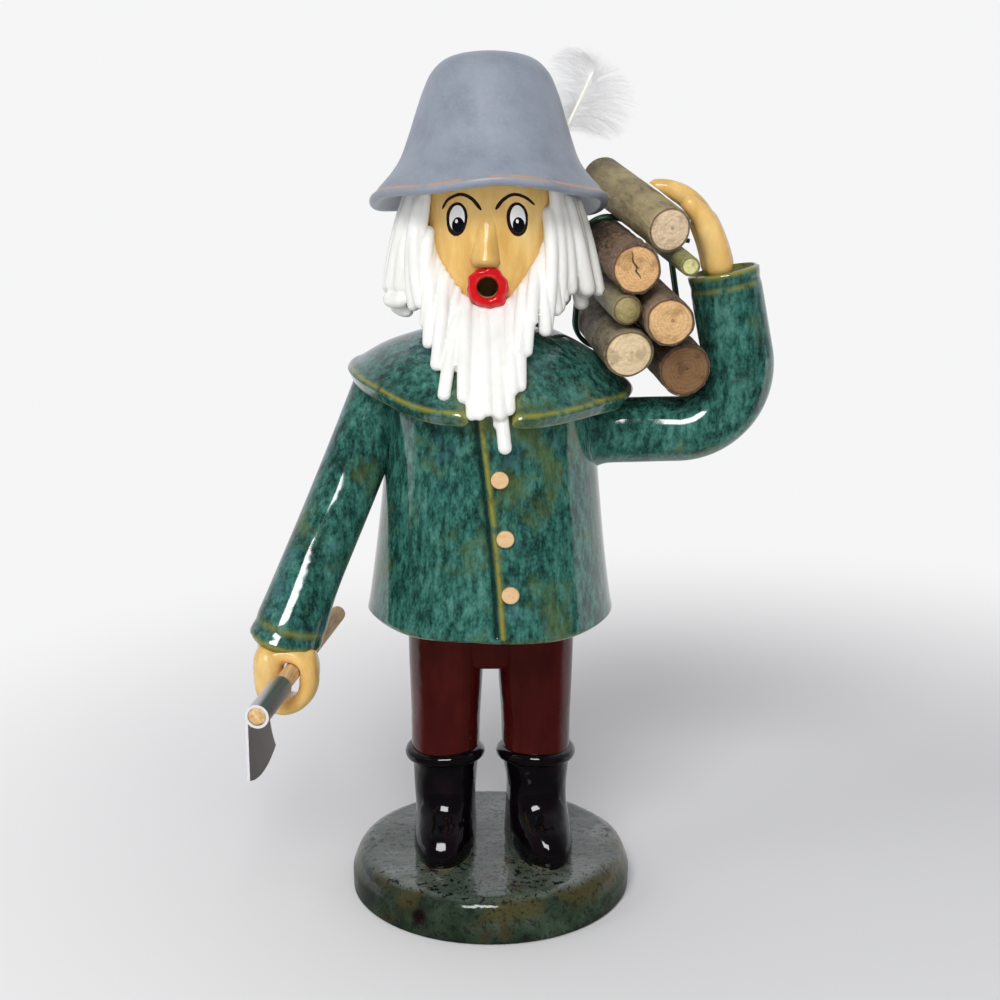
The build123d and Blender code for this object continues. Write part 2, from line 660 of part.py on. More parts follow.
def polar(radius, angle, rise):
    """A place round the head, by its angle from the front towards the figure's left."""
    turn = math.radians(angle)
    return Vector(radius * math.sin(turn), -radius * math.cos(turn), NECK_Z + rise)


def make_hair(side, strands, cutters):
    """Hair at one side: a backing under the hat and strands that hang from it."""
    first, last = HAIR_FRONT_ANGLE, HAIR_REAR_ANGLE
    if side < 0:
        first, last = -HAIR_REAR_ANGLE, -HAIR_FRONT_ANGLE
    hair = hair_backing(first, last, HAIR_HEM_RISE)
    middle = HEAD_RADIUS + HAIR_THICKNESS / 2
    for angle, tip_angle, tip_out, tip_rise in strands:
        root = polar(middle, side * angle, HAIR_HEM_RISE + 3 * HAIR_THICKNESS)
        tip = polar(middle + tip_out, side * tip_angle, tip_rise)
        hair = hair + rolled(root, tip, STRAND_RADIUS, STRAND_TIP_RADIUS)
    for cutter in cutters:
        hair = hair - cutter
    return main_solid(hair)


def make_back_hair(cutters):
    """Hair over the back of the head, combed down to the collar."""
    hair = hair_backing(HAIR_REAR_ANGLE, 360 - HAIR_REAR_ANGLE, 6.0)
    for cutter in cutters:
        hair = hair - cutter
    return main_solid(hair)


def make_beard(core, strands, cutters):
    """Beard: a backing on the chin and strands that run down over the collar."""
    beard = None
    for across, rise, tip_across, tip_reach, tip_rise in strands:
        reach = face_reach(core, across, NECK_Z + rise)
        root = Vector(across, reach - BEARD_THICKNESS / 4, NECK_Z + rise)
        tip = Vector(tip_across, tip_reach, NECK_Z + tip_rise)
        strand = rolled(root, tip, STRAND_RADIUS + 0.5, STRAND_TIP_RADIUS)
        for cutter in cutters:
            strand = main_solid(strand - cutter)
        beard = strand if beard is None else beard + strand
    return main_solid(beard)


def make_quill():
    return rolled(raised(QUILL_ROOT), raised(QUILL_TIP), QUILL_RADIUS, QUILL_TIP_RADIUS)


def make_vane(cutters):
    """The plume as one thin fan, spread up and out from the quill."""
    plane = Plane(origin=(0, QUILL_TIP[1] + VANE_THICKNESS, NECK_Z), x_dir=(1, 0, 0), z_dir=(0, -1, 0))
    points = [(QUILL_ROOT[0] + across, QUILL_ROOT[2] + rise) for across, rise in VANE_OUTLINE]
    outline = Spline(*points, points[0])
    fan = extrude(plane * make_face(outline), VANE_THICKNESS, both=True)
    for cutter in cutters:
        fan = fan - cutter
    return main_solid(fan)


def on_both(first, second, first_gap, second_gap):
    """The place above two others that lies at two distances from them."""
    between = second - first
    span = between.length
    along = (first_gap**2 - second_gap**2 + span**2) / (2 * span)
    off = math.sqrt(first_gap**2 - along**2)
    unit = between.normalized()
    return first + unit * along + Vector(-unit.Y, unit.X) * off


def log_places():
    """Middles of the log ends in the bundle's cross-section, each one laid on its neighbours."""
    radii = LOG_RADII

    def apart(first, second, gap=LOG_GAP):
        return radii[first] + radii[second] + gap

    def beside(place, distance, turn):
        angle = math.radians(turn)
        return place + Vector(math.cos(angle), math.sin(angle)) * distance

    higher = BOTTOM_LOGS_STEP + radii["log_4"] - radii["log_5"]
    further = math.sqrt(apart("log_4", "log_5", BOTTOM_LOGS_APART) ** 2 - higher**2)
    spots = {"log_5": Vector(0, 0), "log_4": Vector(-further, higher)}
    spots["log_3"] = on_both(
        spots["log_4"], spots["log_5"], apart("log_3", "log_4"), apart("log_3", "log_5", LOG_3_LIFT)
    )
    spots["twig_2"] = on_both(
        spots["log_4"], spots["log_3"], apart("twig_2", "log_4", TWIG_2_LIFT), apart("twig_2", "log_3")
    )
    spots["log_2"] = beside(spots["twig_2"], apart("log_2", "twig_2"), LOG_2_TURN)
    spots["log_1"] = beside(spots["log_2"], apart("log_1", "log_2", LOG_1_LIFT), LOG_1_TURN)
    spots["twig_1"] = beside(spots["log_1"], apart("log_1", "twig_1"), TWIG_1_TURN)
    return spots


def bundle_plane():
    """Plane across the bundle at the log that lies in the crook of the arm, its Z along the logs."""
    along = Vector(*BUNDLE_AXIS).normalized()
    across = Vector(along.Y, -along.X, 0).normalized()
    nested = LOG_RADII["log_5"] + LIFT_RADIUS
    corner = (LIFT_CUFF[0] - nested - BUNDLE_INSET, BUNDLE_FRONT_Y, LIFT_ELBOW[2] + nested + BUNDLE_LIFT)
    return Plane(origin=raised(corner), x_dir=-across, z_dir=along)


def bundle_point(spot, depth):
    """A place in the bundle: cross-section across to the left and up, depth along the logs."""
    return bundle_plane().from_local_coords((-spot.X, spot.Y, depth))


def make_log(name, spot, grown=0.0):
    """One log, its bark grown outward by a clearance where another piece is fitted to it."""
    start = bundle_point(spot, LOG_STARTS[name])
    axis = Vector(*(TOP_LOG_AXIS if name == "log_1" else BUNDLE_AXIS)).normalized()
    length = LOG_LENGTH + LOG_BACKS[name] - LOG_STARTS[name]
    rod = Cylinder(LOG_RADII[name] + grown, length, align=(Align.CENTER, Align.CENTER, Align.MIN))
    return Plane(origin=start, z_dir=axis) * rod


def top_log_way(spot):
    """The room that the top log needs under the hand: the log at rest, and the way of its front stretch
    while the bundle is drawn out backwards."""
    log = make_log("log_1", spot, FINGER_CLEARANCE)
    front = bundle_point(spot, LOG_STARTS["log_1"])
    under_hand = front + Vector(*TOP_LOG_AXIS).normalized() * TOP_LOG_REACH
    plane = Plane(origin=front, z_dir=Vector(*BUNDLE_AXIS).normalized())
    offset = plane.to_local_coords(under_hand)
    ring = Circle(LOG_RADII["log_1"] + FINGER_CLEARANCE)
    shadow = make_hull([*ring.edges(), *(Pos(offset.X, offset.Y) * ring).edges()])
    return [log, extrude(plane * shadow, BUNDLE_DRAW)]


def wire_corners(spots):
    """Corners and bend radii of the tight loop round the tied logs, anticlockwise in the cross-section."""
    reach = {name: LOG_RADII[name] + WIRE_RADIUS + WIRE_SLACK for name in spots if name != "log_1"}
    touched = []
    for degree in range(WIRE_TAIL_SIDE, WIRE_TAIL_SIDE + 360):
        normal = Vector(math.cos(math.radians(degree)), math.sin(math.radians(degree)))
        outermost = max(reach, key=lambda name: spots[name].dot(normal) + reach[name])
        if not touched or touched[-1] != outermost:
            touched.append(outermost)
    if touched[0] == touched[-1]:
        touched.pop()
    lines = []
    for first, second in zip(touched, touched[1:] + touched[:1]):
        between = spots[second] - spots[first]
        turn = math.atan2(between.Y, between.X)
        turn -= math.acos((reach[first] - reach[second]) / between.length)
        normal = Vector(math.cos(turn), math.sin(turn))
        lines.append((normal, normal.dot(spots[first]) + reach[first]))
    corners = []
    for index, name in enumerate(touched):
        one, one_reach = lines[index - 1]
        two, two_reach = lines[index]
        scale = one.X * two.Y - one.Y * two.X
        corner = Vector(one_reach * two.Y - two_reach * one.Y, two_reach * one.X - one_reach * two.X) / scale
        corners.append((corner, reach[name]))
    return corners


def make_wire(spots):
    """Coated wire wound twice round the logs under the top one, its two tails turned out at the side."""
    corners = wire_corners(spots)
    last = len(corners) * WIRE_TURNS
    start = (corners[-1][0] * 0.45 + corners[0][0] * 0.55)
    outward = Vector((corners[0][0] - corners[-1][0]).Y, -(corners[0][0] - corners[-1][0]).X).normalized()
    points = [bundle_point(start + outward * WIRE_TAIL, WIRE_PLACE), bundle_point(start, WIRE_PLACE)]
    bends = [2 * WIRE_RADIUS]
    for index in range(last):
        corner, radius = corners[index % len(corners)]
        points.append(bundle_point(corner, WIRE_PLACE + WIRE_PITCH * (index + 1) / len(corners)))
        bends.append(radius)
    end_depth = WIRE_PLACE + WIRE_PITCH * WIRE_TURNS + WIRE_PITCH / 2
    end = corners[-1][0] * 0.55 + corners[0][0] * 0.45
    points.append(bundle_point(end, end_depth))
    points.append(bundle_point(end + outward * WIRE_TAIL, end_depth))
    bends.append(2 * WIRE_RADIUS)
    path = FilletPolyline(*points, radius=bends)
    print_wire_gap(path)
    return sweep(Plane(origin=path @ 0, z_dir=path % 0) * Circle(WIRE_RADIUS), path=path)


def print_wire_gap(path):
    """Prints the least gap between two stretches of the wire that are not neighbours along it."""
    count = 600
    places = [path @ (index / count) for index in range(count + 1)]
    step = path.length / count
    skip = int(6 * WIRE_RADIUS / step) + 1
    least = min(
        (places[first] - places[second]).length
        for first in range(count + 1)
        for second in range(first + skip, count + 1)
    )
    print("least gap of the wire to itself:", round(least - 2 * WIRE_RADIUS, 2))


def make_all():
    parts = {"base_plinth": make_plinth()}
    legs = {name: make_leg(side) for name, side in SIDES.items()}
    toes = {"left": TOE_OUT_LEFT, "right": TOE_OUT_RIGHT}
    for name, side in SIDES.items():
        parts[f"boot_{name}"] = make_boot(side, toes[name])
        parts[f"boot_cuff_{name}"] = make_cuff(side, legs[name])
        parts[f"trouser_leg_{name}"] = legs[name]
    parts["trouser_hip"] = make_hip(legs.values())
    parts["burner_plate"] = make_burner_plate()
    parts["incense_cone"] = make_cone()

    core = jacket_core(0)
    collar = make_collar(core)
    parts["jacket"] = make_jacket()
    parts["collar"] = collar
    for name, drop in BUTTON_DROPS.items():
        parts[name] = make_button(core, jacket_core(-SEAM), drop)

    right_sleeve = make_right_sleeve(core, collar)
    left_sleeve = make_left_sleeve(core, collar)
    parts["sleeve_right"] = right_sleeve
    parts["sleeve_left"] = left_sleeve
    parts["hand_right"] = make_right_hand(right_sleeve)
    parts["axe_handle"] = make_axe_handle()
    parts["axe_blade"] = make_axe_blade()

    spots = log_places()
    logs = {name: make_log(name, spot) for name, spot in spots.items()}
    parts.update(logs)
    parts["binding_wire"] = make_wire(spots)
    parts["hand_left"] = make_left_hand([left_sleeve, *top_log_way(spots["log_1"])])

    face = head_core(0)
    hair_bed = head_core(-SEAM)
    quill = make_quill()
    hat = main_solid(make_hat() - quill)
    lips = make_lips(face)
    nose = make_nose(face, lips)
    beard = make_beard(face, BEARD_STRANDS, [hair_bed, collar, core, lips, nose])
    below_hat = [hair_bed, hat, collar, core, beard]
    parts["head"] = make_head(face, hat)
    parts["hat"] = hat
    parts["lips"] = lips
    parts["nose"] = nose
    parts["beard"] = beard
    parts["hair_left"] = make_hair(SIDES["left"], LEFT_STRANDS, below_hat)
    parts["hair_right"] = make_hair(SIDES["right"], RIGHT_STRANDS, below_hat)
    beside_back = [parts["hair_left"], parts["hair_right"]]
    parts["hair_back"] = make_back_hair([hair_bed, hat, collar, core, *beside_back])
    parts["feather_quill"] = quill
    parts["feather_vane"] = make_vane([quill, hat])
    return parts


os.makedirs("parts", exist_ok=True)
for node, solid in make_all().items():
    export_step(solid, f"parts/{node}.step")
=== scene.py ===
import bpy
import math
import numpy as np
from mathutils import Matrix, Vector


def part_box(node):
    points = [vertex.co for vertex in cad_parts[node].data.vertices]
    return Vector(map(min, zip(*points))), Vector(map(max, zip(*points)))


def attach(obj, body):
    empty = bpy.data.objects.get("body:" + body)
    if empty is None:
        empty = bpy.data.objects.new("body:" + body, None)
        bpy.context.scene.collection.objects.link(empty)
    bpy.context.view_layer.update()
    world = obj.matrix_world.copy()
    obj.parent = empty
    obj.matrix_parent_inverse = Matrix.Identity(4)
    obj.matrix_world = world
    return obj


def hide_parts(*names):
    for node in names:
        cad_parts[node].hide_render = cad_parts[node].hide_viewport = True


# A clay woodcutter that smokes incense: the jacket lifts off the legs, and the smoke leaves by the mouth.
# Sizes in the sections are millimetres. The figure faces -Y, and its own left is +X.
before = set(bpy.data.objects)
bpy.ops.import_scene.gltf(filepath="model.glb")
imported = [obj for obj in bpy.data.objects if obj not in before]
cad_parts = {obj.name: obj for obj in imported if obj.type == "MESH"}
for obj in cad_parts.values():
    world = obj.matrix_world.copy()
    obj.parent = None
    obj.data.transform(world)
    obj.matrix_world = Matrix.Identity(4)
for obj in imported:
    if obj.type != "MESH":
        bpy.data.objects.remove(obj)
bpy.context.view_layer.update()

# Camera
# It stands straight in front of the figure, level with the hat, and looks a little down.
lens = bpy.data.cameras.new("camera")
lens.sensor_width = 36.0
lens.lens = 58.69
camera = bpy.data.objects.new("camera", lens)
camera.location = (0.0034, -0.560, 0.27666)
camera.rotation_euler = (math.radians(90 - 13.22), 0.0, 0.0)
bpy.context.scene.collection.objects.link(camera)
bpy.context.scene.camera = camera
bpy.context.scene.view_settings.view_transform = "Standard"


# Floor and light
# A pale table that runs out into a white room, with one window of light above the camera that each glazed
# edge mirrors as a white streak, and a soft bounce from both sides and from below it. The glazes mirror a
# table that ends in front of the figure, with a dark room beyond.
def wire_up(kind, inputs, tree=None, **settings):
    """Adds a shader node and sets or links its inputs, each by its name or number. Its tree is the one that
    the linked inputs come from, and is given where none is linked."""
    linked = [value for value in inputs.values() if isinstance(value, bpy.types.NodeSocket)]
    tree = tree or linked[0].id_data
    made = tree.nodes.new("ShaderNode" + kind)
    for key, value in settings.items():
        setattr(made, key, value)
    for key, value in inputs.items():
        socket = made.inputs[key]
        if value in linked:
            tree.links.new(value, socket)
        elif socket.type == "RGBA":
            socket.default_value = (*value, 1.0)
        else:
            socket.default_value = value
    return made


def shader_tree(name):
    """A new material, its surface shader and the places on the piece."""
    finish = bpy.data.materials.new(name)
    finish.use_nodes = True
    tree = finish.node_tree
    return finish, tree.nodes["Principled BSDF"], wire_up("TexCoord", {}, tree).outputs["Object"]


def coat(shader, colour, roughness):
    """Puts a colour on the shader, with one roughness all over."""
    colour.id_data.links.new(colour, shader.inputs["Base Color"])
    shader.inputs["Roughness"].default_value = roughness


def reckon(operation, first, second=0.0):
    """One sum of two numbers, at least one of them from a node."""
    return wire_up("Math", {0: first, 1: second}, operation=operation).outputs[0]


def times(first, second):
    """The product of two numbers, at least one of them from a node."""
    return reckon("MULTIPLY", first, second)


def soft_step(value, low, high):
    """Rises smoothly from 0 to 1 while the value goes from low to high."""
    limits = {"Value": value, "From Min": low, "From Max": high}
    return wire_up("MapRange", limits, interpolation_type="SMOOTHSTEP").outputs["Result"]


def blended(share, first, second, most=1.0):
    """Colour that goes from the first towards the second as the share goes from 0 to 1: all the way, or
    only the most of it that is given."""
    if most < 1.0:
        share = times(share, most)
    return wire_up("Mix", {0: share, 6: first, 7: second}, data_type="RGBA").outputs[2]


ROOM_WHITE = (0.92, 0.92, 0.925)
floor_mesh = bpy.data.meshes.new("floor")
floor_mesh.from_pydata([(-6, -6, 0), (6, -6, 0), (6, 6, 0), (-6, 6, 0)], [], [(0, 1, 2, 3)])
floor = bpy.data.objects.new("floor", floor_mesh)
bpy.context.scene.collection.objects.link(floor)
floor_finish, shader, place = shader_tree("pale table")
tree = floor_finish.node_tree
reach = wire_up("VectorMath", {0: place, 1: (0.10, 0.04, 0.0)}, operation="DISTANCE").outputs["Value"]
rays = wire_up("LightPath", {}, tree)
past_edge = soft_step(wire_up("SeparateXYZ", {0: place}).outputs["Y"], 0.06, -0.05)
past_edge = times(past_edge, rays.outputs["Is Glossy Ray"])
cloth = blended(past_edge, (0.80, 0.80, 0.805), (0.05, 0.05, 0.05))
coat(shader, cloth, 0.9)
seen = reckon("MAXIMUM", rays.outputs["Is Camera Ray"], rays.outputs["Is Glossy Ray"])
seen = reckon("MAXIMUM", seen, rays.outputs["Is Transmission Ray"])
far = times(soft_step(reach, 0.10, 0.46), seen)
far = times(far, reckon("SUBTRACT", 1.0, past_edge))
glow = wire_up("Emission", {"Color": ROOM_WHITE, "Strength": 1.0}, tree)
both = wire_up("MixShader", {0: far, 1: shader.outputs[0], 2: glow.outputs[0]})
tree.links.new(both.outputs[0], tree.nodes["Material Output"].inputs["Surface"])
floor_mesh.materials.append(floor_finish)

room = bpy.data.worlds.new("room")
room.use_nodes = True
bpy.context.scene.world = room
tree = room.node_tree
heading = wire_up("SeparateXYZ", {0: wire_up("TexCoord", {}, tree).outputs["Generated"]})
behind = soft_step(heading.outputs["Y"], -0.55, 0.35)
light = blended(behind, (0.15, 0.15, 0.16), (0.50, 0.50, 0.52))
sheet = soft_step(heading.outputs["Y"], 0.20, 0.76)
mirrored = blended(behind, (0.05, 0.05, 0.055), (0.28, 0.28, 0.30))
mirrored = blended(sheet, mirrored, (0.84, 0.84, 0.90))
rays = wire_up("LightPath", {}, tree)
light = blended(rays.outputs["Is Glossy Ray"], light, mirrored)
shown = blended(rays.outputs["Is Camera Ray"], light, ROOM_WHITE)
tree.links.new(shown, tree.nodes["Background"].inputs["Color"])
tree.nodes["Background"].inputs["Strength"].default_value = 1.0

FIGURE_MIDDLE = (0.0, 0.0, 0.16)


def hang_lamp(name, spot, wide, tall, watts, mirrored):
    """A soft rectangular lamp at a spot in metres, turned to the middle of the figure, that the glazes
    mirror or not."""
    lamp = bpy.data.lights.new(name, "AREA")
    lamp.shape = "RECTANGLE"
    lamp.size = wide
    lamp.size_y = tall
    lamp.energy = watts
    hung = bpy.data.objects.new(name, lamp)
    hung.location = spot
    hung.visible_glossy = mirrored
    aim = Vector(FIGURE_MIDDLE) - Vector(spot)
    hung.rotation_euler = aim.to_track_quat("-Z", "Y").to_euler()
    bpy.context.scene.collection.objects.link(hung)


hang_lamp("window", (-0.183, -1.10, 1.12), 0.72, 0.42, 13.4, True)
hang_lamp("left wall", (-1.10, -0.50, 0.80), 0.50, 0.60, 2.6, False)
hang_lamp("bounce", (0.00, -1.45, 0.42), 0.90, 0.70, 4.2, False)
hang_lamp("right wall", (1.10, -0.85, 0.45), 0.50, 0.60, 1.5, False)


# Plinth
# A thick disc of clay with a rounded rim, glazed in speckled grey green. The glaze broke to brown along
# the rim, and one bubble burst into a small brown crater at the front.
def joined(*columns):
    """Arrays of like or stretchable shape side by side along a new last axis."""
    return np.stack(np.broadcast_arrays(*columns), -1)


def unit(ways):
    """The same directions, each of length one."""
    return ways / np.linalg.norm(ways, axis=-1, keepdims=True)


def full_turn(count):
    """Even angles once round, the last one a step short of the first."""
    return np.linspace(0, 2 * np.pi, count + 1)[:-1]


def bell(value, middle, width):
    """A bell curve: one at the middle, about a third at the width on either side of it."""
    return np.exp(-(((value - middle) / width) ** 2))


def clay_skin(name, rings, closed=False, **marks):
    """Mesh over rings of points in millimetres: each ring is joined to the next by quads. The last ring
    joins the first where closed, and otherwise a fan closes each end. Rings may come as several shells.
    Each mark is a number for every point, kept as an attribute of that name."""
    shells = rings if rings.ndim == 4 else rings[None]
    count, rows, cols = shells.shape[:3]
    grid = shells.reshape(count, rows * cols, 3)
    col = np.arange(cols)
    after = np.roll(col, -1)
    low = (np.arange(rows) * cols)[:, None]
    high = np.roll(low, -1, axis=0)
    quads = joined(low + col, low + after, high + after, high + col)
    quads = (quads if closed else quads[:-1]).reshape(-1, 4)
    if closed:
        fans = np.zeros((0, 3), int)
    else:
        grid = np.concatenate([grid, shells[:, [0, -1]].mean(2)], 1)
        top = (rows - 1) * cols
        bottom_fan = joined(rows * cols, after, col)
        top_fan = joined(rows * cols + 1, top + col, top + after)
        fans = np.concatenate([bottom_fan, top_fan])
    points = grid.reshape(-1, 3)
    step = (np.arange(count) * grid.shape[1])[:, None, None]
    quads = (quads + step).reshape(-1, 4)
    fans = (fans + step).reshape(-1, 3)
    middle = points - points.mean(0)
    a, b, c, d = (middle[quads[:, corner]] for corner in range(4))
    volume = np.einsum("ij,ij->", a, np.cross(b, c)) + np.einsum("ij,ij->", a, np.cross(c, d))
    if volume < 0:
        quads = quads[:, ::-1]
        fans = fans[:, ::-1]
    mesh = bpy.data.meshes.new(name)
    mesh.from_pydata((points * 0.001).tolist(), [], quads.tolist() + fans.tolist())
    mesh.polygons.foreach_set("use_smooth", np.ones(len(quads) + len(fans), bool))
    for mark, amount in marks.items():
        amount = np.broadcast_to(amount, shells.shape[:3])
        full = amount.reshape(count, -1)
        if not closed:
            full = np.concatenate([full, amount[:, [0, -1]].mean(2)], 1)
        mesh.attributes.new(mark, "FLOAT", "POINT").data.foreach_set("value", full.ravel().astype(np.float32))
    piece = bpy.data.objects.new(name, mesh)
    bpy.context.scene.collection.objects.link(piece)
    return piece


def soft_line(corners, rounds, steps=9):
    """Line through corners with each inner corner replaced by a circular arc of its round: a weighted
    parabola from one run to the next."""
    corners = np.asarray(corners, float)
    parts = [corners[:1]]
    share = np.linspace(0, 1, steps)[:, None]
    for before, corner, after, radius in zip(corners, corners[1:], corners[2:], rounds):
        back = unit(before - corner)
        on = unit(after - corner)
        half_turn = (math.pi - math.acos(np.clip(back @ on, -1, 1))) / 2
        cut = radius * math.tan(half_turn)
        weight = math.cos(half_turn)
        pull = 2 * weight * share * (1 - share)
        arc = (1 - share) ** 2 * (corner + back * cut) + pull * corner + share**2 * (corner + on * cut)
        parts.append(arc / ((1 - share) ** 2 + pull + share**2))
    return np.concatenate(parts + [corners[-1:]])


def run_along(line):
    """How far each point of a line is along it."""
    return np.concatenate([[0], np.cumsum(np.linalg.norm(np.diff(line, axis=0), axis=1))])


def evenly(line, count):
    """The same line with points at even steps along it."""
    run = run_along(line)
    at = np.linspace(0, run[-1], count)
    return np.stack([np.interp(at, run, line[:, axis]) for axis in range(line.shape[1])], 1)


def turned(line, turn):
    """Rings round the upright axis: each profile point (radius, height) carried through the turn angles,
    which count from the front towards the figure's left."""
    radius = line[:, 0, None]
    height = line[:, 1, None]
    return joined(radius * np.sin(turn), -radius * np.cos(turn), height)


def hand_wobble(place, size, seed):
    """Unevenness left by the fingers: eight sine waves about a size long, in fixed directions, added up
    to about -1 to 1."""
    pick = np.random.default_rng(seed)
    ways = unit(pick.normal(size=(8, 3)))
    phase = pick.uniform(0, 2 * np.pi, 8)
    return np.sin(place @ ways.T * (2 * np.pi / size) + phase).sum(-1) / 4


def cloudy(place, scale, detail, roughness=0.5):
    """Soft cloudy spots, scale of them to one unit of the place."""
    spots = {"Vector": place, "Scale": scale, "Detail": detail, "Roughness": roughness}
    return wire_up("TexNoise", spots).outputs[0]


def drawn_out(place, stretch):
    """The places with each axis multiplied, so that spots grow long where the stretch is small."""
    return wire_up("Mapping", {"Vector": place, "Scale": stretch}).outputs[0]


def mottle(place, scale, detail=3.0, stretch=(1.0, 1.0, 1.0)):
    """Cloudy spots of a glaze, scale of them to the metre."""
    return cloudy(drawn_out(place, stretch), scale, detail, 0.6)


def shades(amount, *stops):
    """Colours along an amount from 0 to 1, each stop a place and a colour."""
    band = wire_up("ValToRGB", {0: amount})
    points = band.color_ramp.elements
    points.remove(points[1])
    points[0].position = stops[0][0]
    points[0].color = (*stops[0][1], 1.0)
    for spot, colour in stops[1:]:
        points.new(spot).color = (*colour, 1.0)
    return band.outputs[0]


def emboss(shader, height, strength, depth):
    """Bumps of a depth in metres on the shader's normal."""
    bump = wire_up("Bump", {"Strength": strength, "Distance": depth, "Height": height})
    height.id_data.links.new(bump.outputs[0], shader.inputs["Normal"])


def orange_peel(shader, place, scale, depth):
    """The gentle ripple of a melted glaze, depth in metres."""
    emboss(shader, mottle(place, scale, 2.0), 0.6, depth)


def mark_of(place, name, kind="Fac"):
    """An attribute that the mesh carries, for the material that the place belongs to."""
    return wire_up("Attribute", {}, place.id_data, attribute_name=name).outputs[kind]


def dress(piece, finish):
    """Gives a piece or a CAD node one finish all over."""
    piece.data.materials.clear()
    piece.data.materials.append(finish)


def fit_on(piece, finish, body, slot, *nodes):
    """Gives a piece its finish and its body, and hides the CAD nodes that it stands for. The slot is not
    used.
    """
    dress(piece, finish)
    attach(piece, body)
    if nodes:
        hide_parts(*nodes)


ALL_ROUND = full_turn(360)
PLINTH_TOP = 15.6
CRATER = (-24.8, -44.2, 7.2)
plinth_corners = [(1, 0), (50.8, 0), (51.0, 8.0), (48.0, PLINTH_TOP), (1, PLINTH_TOP)]
plinth = turned(evenly(soft_line(plinth_corners, [1.4, 5.0, 5.5]), 150), ALL_ROUND)
uneven = hand_wobble(plinth, 45, 1)
plinth[..., :2] *= 1 + 0.004 * uneven[..., None] * (plinth[..., 2:] > 0.05)
plinth[..., 2] *= 1 + 0.018 * hand_wobble(plinth, 30, 2)
crater_gap = np.linalg.norm(plinth - CRATER, axis=-1)
plinth[..., :2] *= 1 - 0.032 * bell(crater_gap, 0, 2.0)[..., None]
plinth_piece = clay_skin("plinth_clay", plinth, scar=np.exp(-((crater_gap / 3.0) ** 6)))

plinth_glaze, shader, place = shader_tree("plinth glaze")
clouds = mottle(place, 60.0, 5.0)
greens = shades(
    clouds, (0.30, (0.008, 0.011, 0.007)), (0.45, (0.017, 0.030, 0.017)), (0.58, (0.036, 0.058, 0.036)),
    (0.74, (0.074, 0.105, 0.078)),
)
rise = wire_up("SeparateXYZ", {0: place}).outputs["Z"]
on_top = soft_step(rise, 0.0138, 0.0152)
milky = times(soft_step(mottle(place, 42.0, 4.0), 0.50, 0.66), on_top)
# The top is painted paler all over: a painted reflection of the pale room that the top mirrors.
greens = blended(on_top, greens, (0.130, 0.170, 0.140), 0.35)
greens = blended(milky, greens, (0.185, 0.220, 0.212), 0.75)
rusty = soft_step(mottle(place, 70.0, 3.0), 0.54, 0.70)
greens = blended(rusty, greens, (0.052, 0.034, 0.014), 0.7)
rim_band = times(soft_step(rise, 0.007, 0.012), soft_step(rise, 0.0165, 0.0142))
browned = times(rim_band, soft_step(mottle(place, 38.0, 2.0), 0.44, 0.60))
greens = blended(browned, greens, (0.066, 0.054, 0.014), 0.8)
specks = soft_step(mottle(place, 520.0, 2.0, (1.0, 1.0, 0.8)), 0.560, 0.615)
specks = times(specks, reckon("ADD", 0.6, times(on_top, 0.4)))
greens = blended(specks, greens, (0.007, 0.008, 0.010))
fine = soft_step(mottle(place, 1200.0, 1.0), 0.54, 0.68)
greens = blended(fine, greens, (0.012, 0.014, 0.014), 0.5)
greens = blended(mark_of(place, "scar"), greens, (0.008, 0.0025, 0.0025))
coat(shader, greens, 0.12)
orange_peel(shader, place, 160.0, 0.0006)
fit_on(plinth_piece, plinth_glaze, "lower_figure", "base_glaze", "base_plinth")

# Boots and their tops
# Solid feet pushed on to the wet plinth, with a roll of clay for each boot top. The black glaze pulled back
# a little where a sole meets the plinth and left a thin pale line.
boot_black, shader, place = shader_tree("boot glaze")
thin = soft_step(mottle(place, 90.0, 2.0), 0.45, 0.75)
black = blended(thin, (0.0025, 0.0018, 0.0026), (0.007, 0.0034, 0.0055))
bare = soft_step(mottle(place, 260.0, 2.0), 0.44, 0.60)
bare = times(bare, mark_of(place, "sole"))
coat(shader, blended(bare, black, (0.28, 0.23, 0.10)), 0.07)
orange_peel(shader, place, 110.0, 0.0007)

BOOT_TOP = 49.6
LEG_OUT = 16.5
# Levels of a boot: height over the plinth, half width, reach of the toe and of the heel
boot_levels = np.array([
    (-0.6, 10.2, 24.6, 11.4), (0.4, 10.9, 25.7, 12.0), (3.2, 11.4, 26.2, 12.4), (7.0, 11.4, 25.4, 12.2),
    (11.0, 11.1, 22.2, 11.8), (14.5, 10.8, 17.4, 11.3), (18.0, 10.7, 13.6, 11.1), (23.0, 10.9, 11.6, 11.2),
    (29.0, 11.4, 11.6, 11.6), (34.0, 12.0, 12.1, 12.1),
])


def smooth_through(points, count):
    """Smooth line through points: each stretch is a cubic whose slopes come from its neighbours."""
    points = np.asarray(points, float)
    ends = np.concatenate([[2 * points[0] - points[1]], points, [2 * points[-1] - points[-2]]])
    at = np.linspace(0, len(points) - 1, count)
    first = np.minimum(at.astype(int), len(points) - 2)
    share = (at - first)[:, None]
    a, b, c, d = ends[first], ends[first + 1], ends[first + 2], ends[first + 3]
    bent = (2 * a - 5 * b + 4 * c - d) * share**2 + (3 * b - a - 3 * c + d) * share**3
    return 0.5 * (2 * b + (c - a) * share + bent)


def squarish(wave, power):
    """A sine or cosine raised to a power below one, its sign kept, which squares off a round."""
    return np.sign(wave) * np.abs(wave) ** power


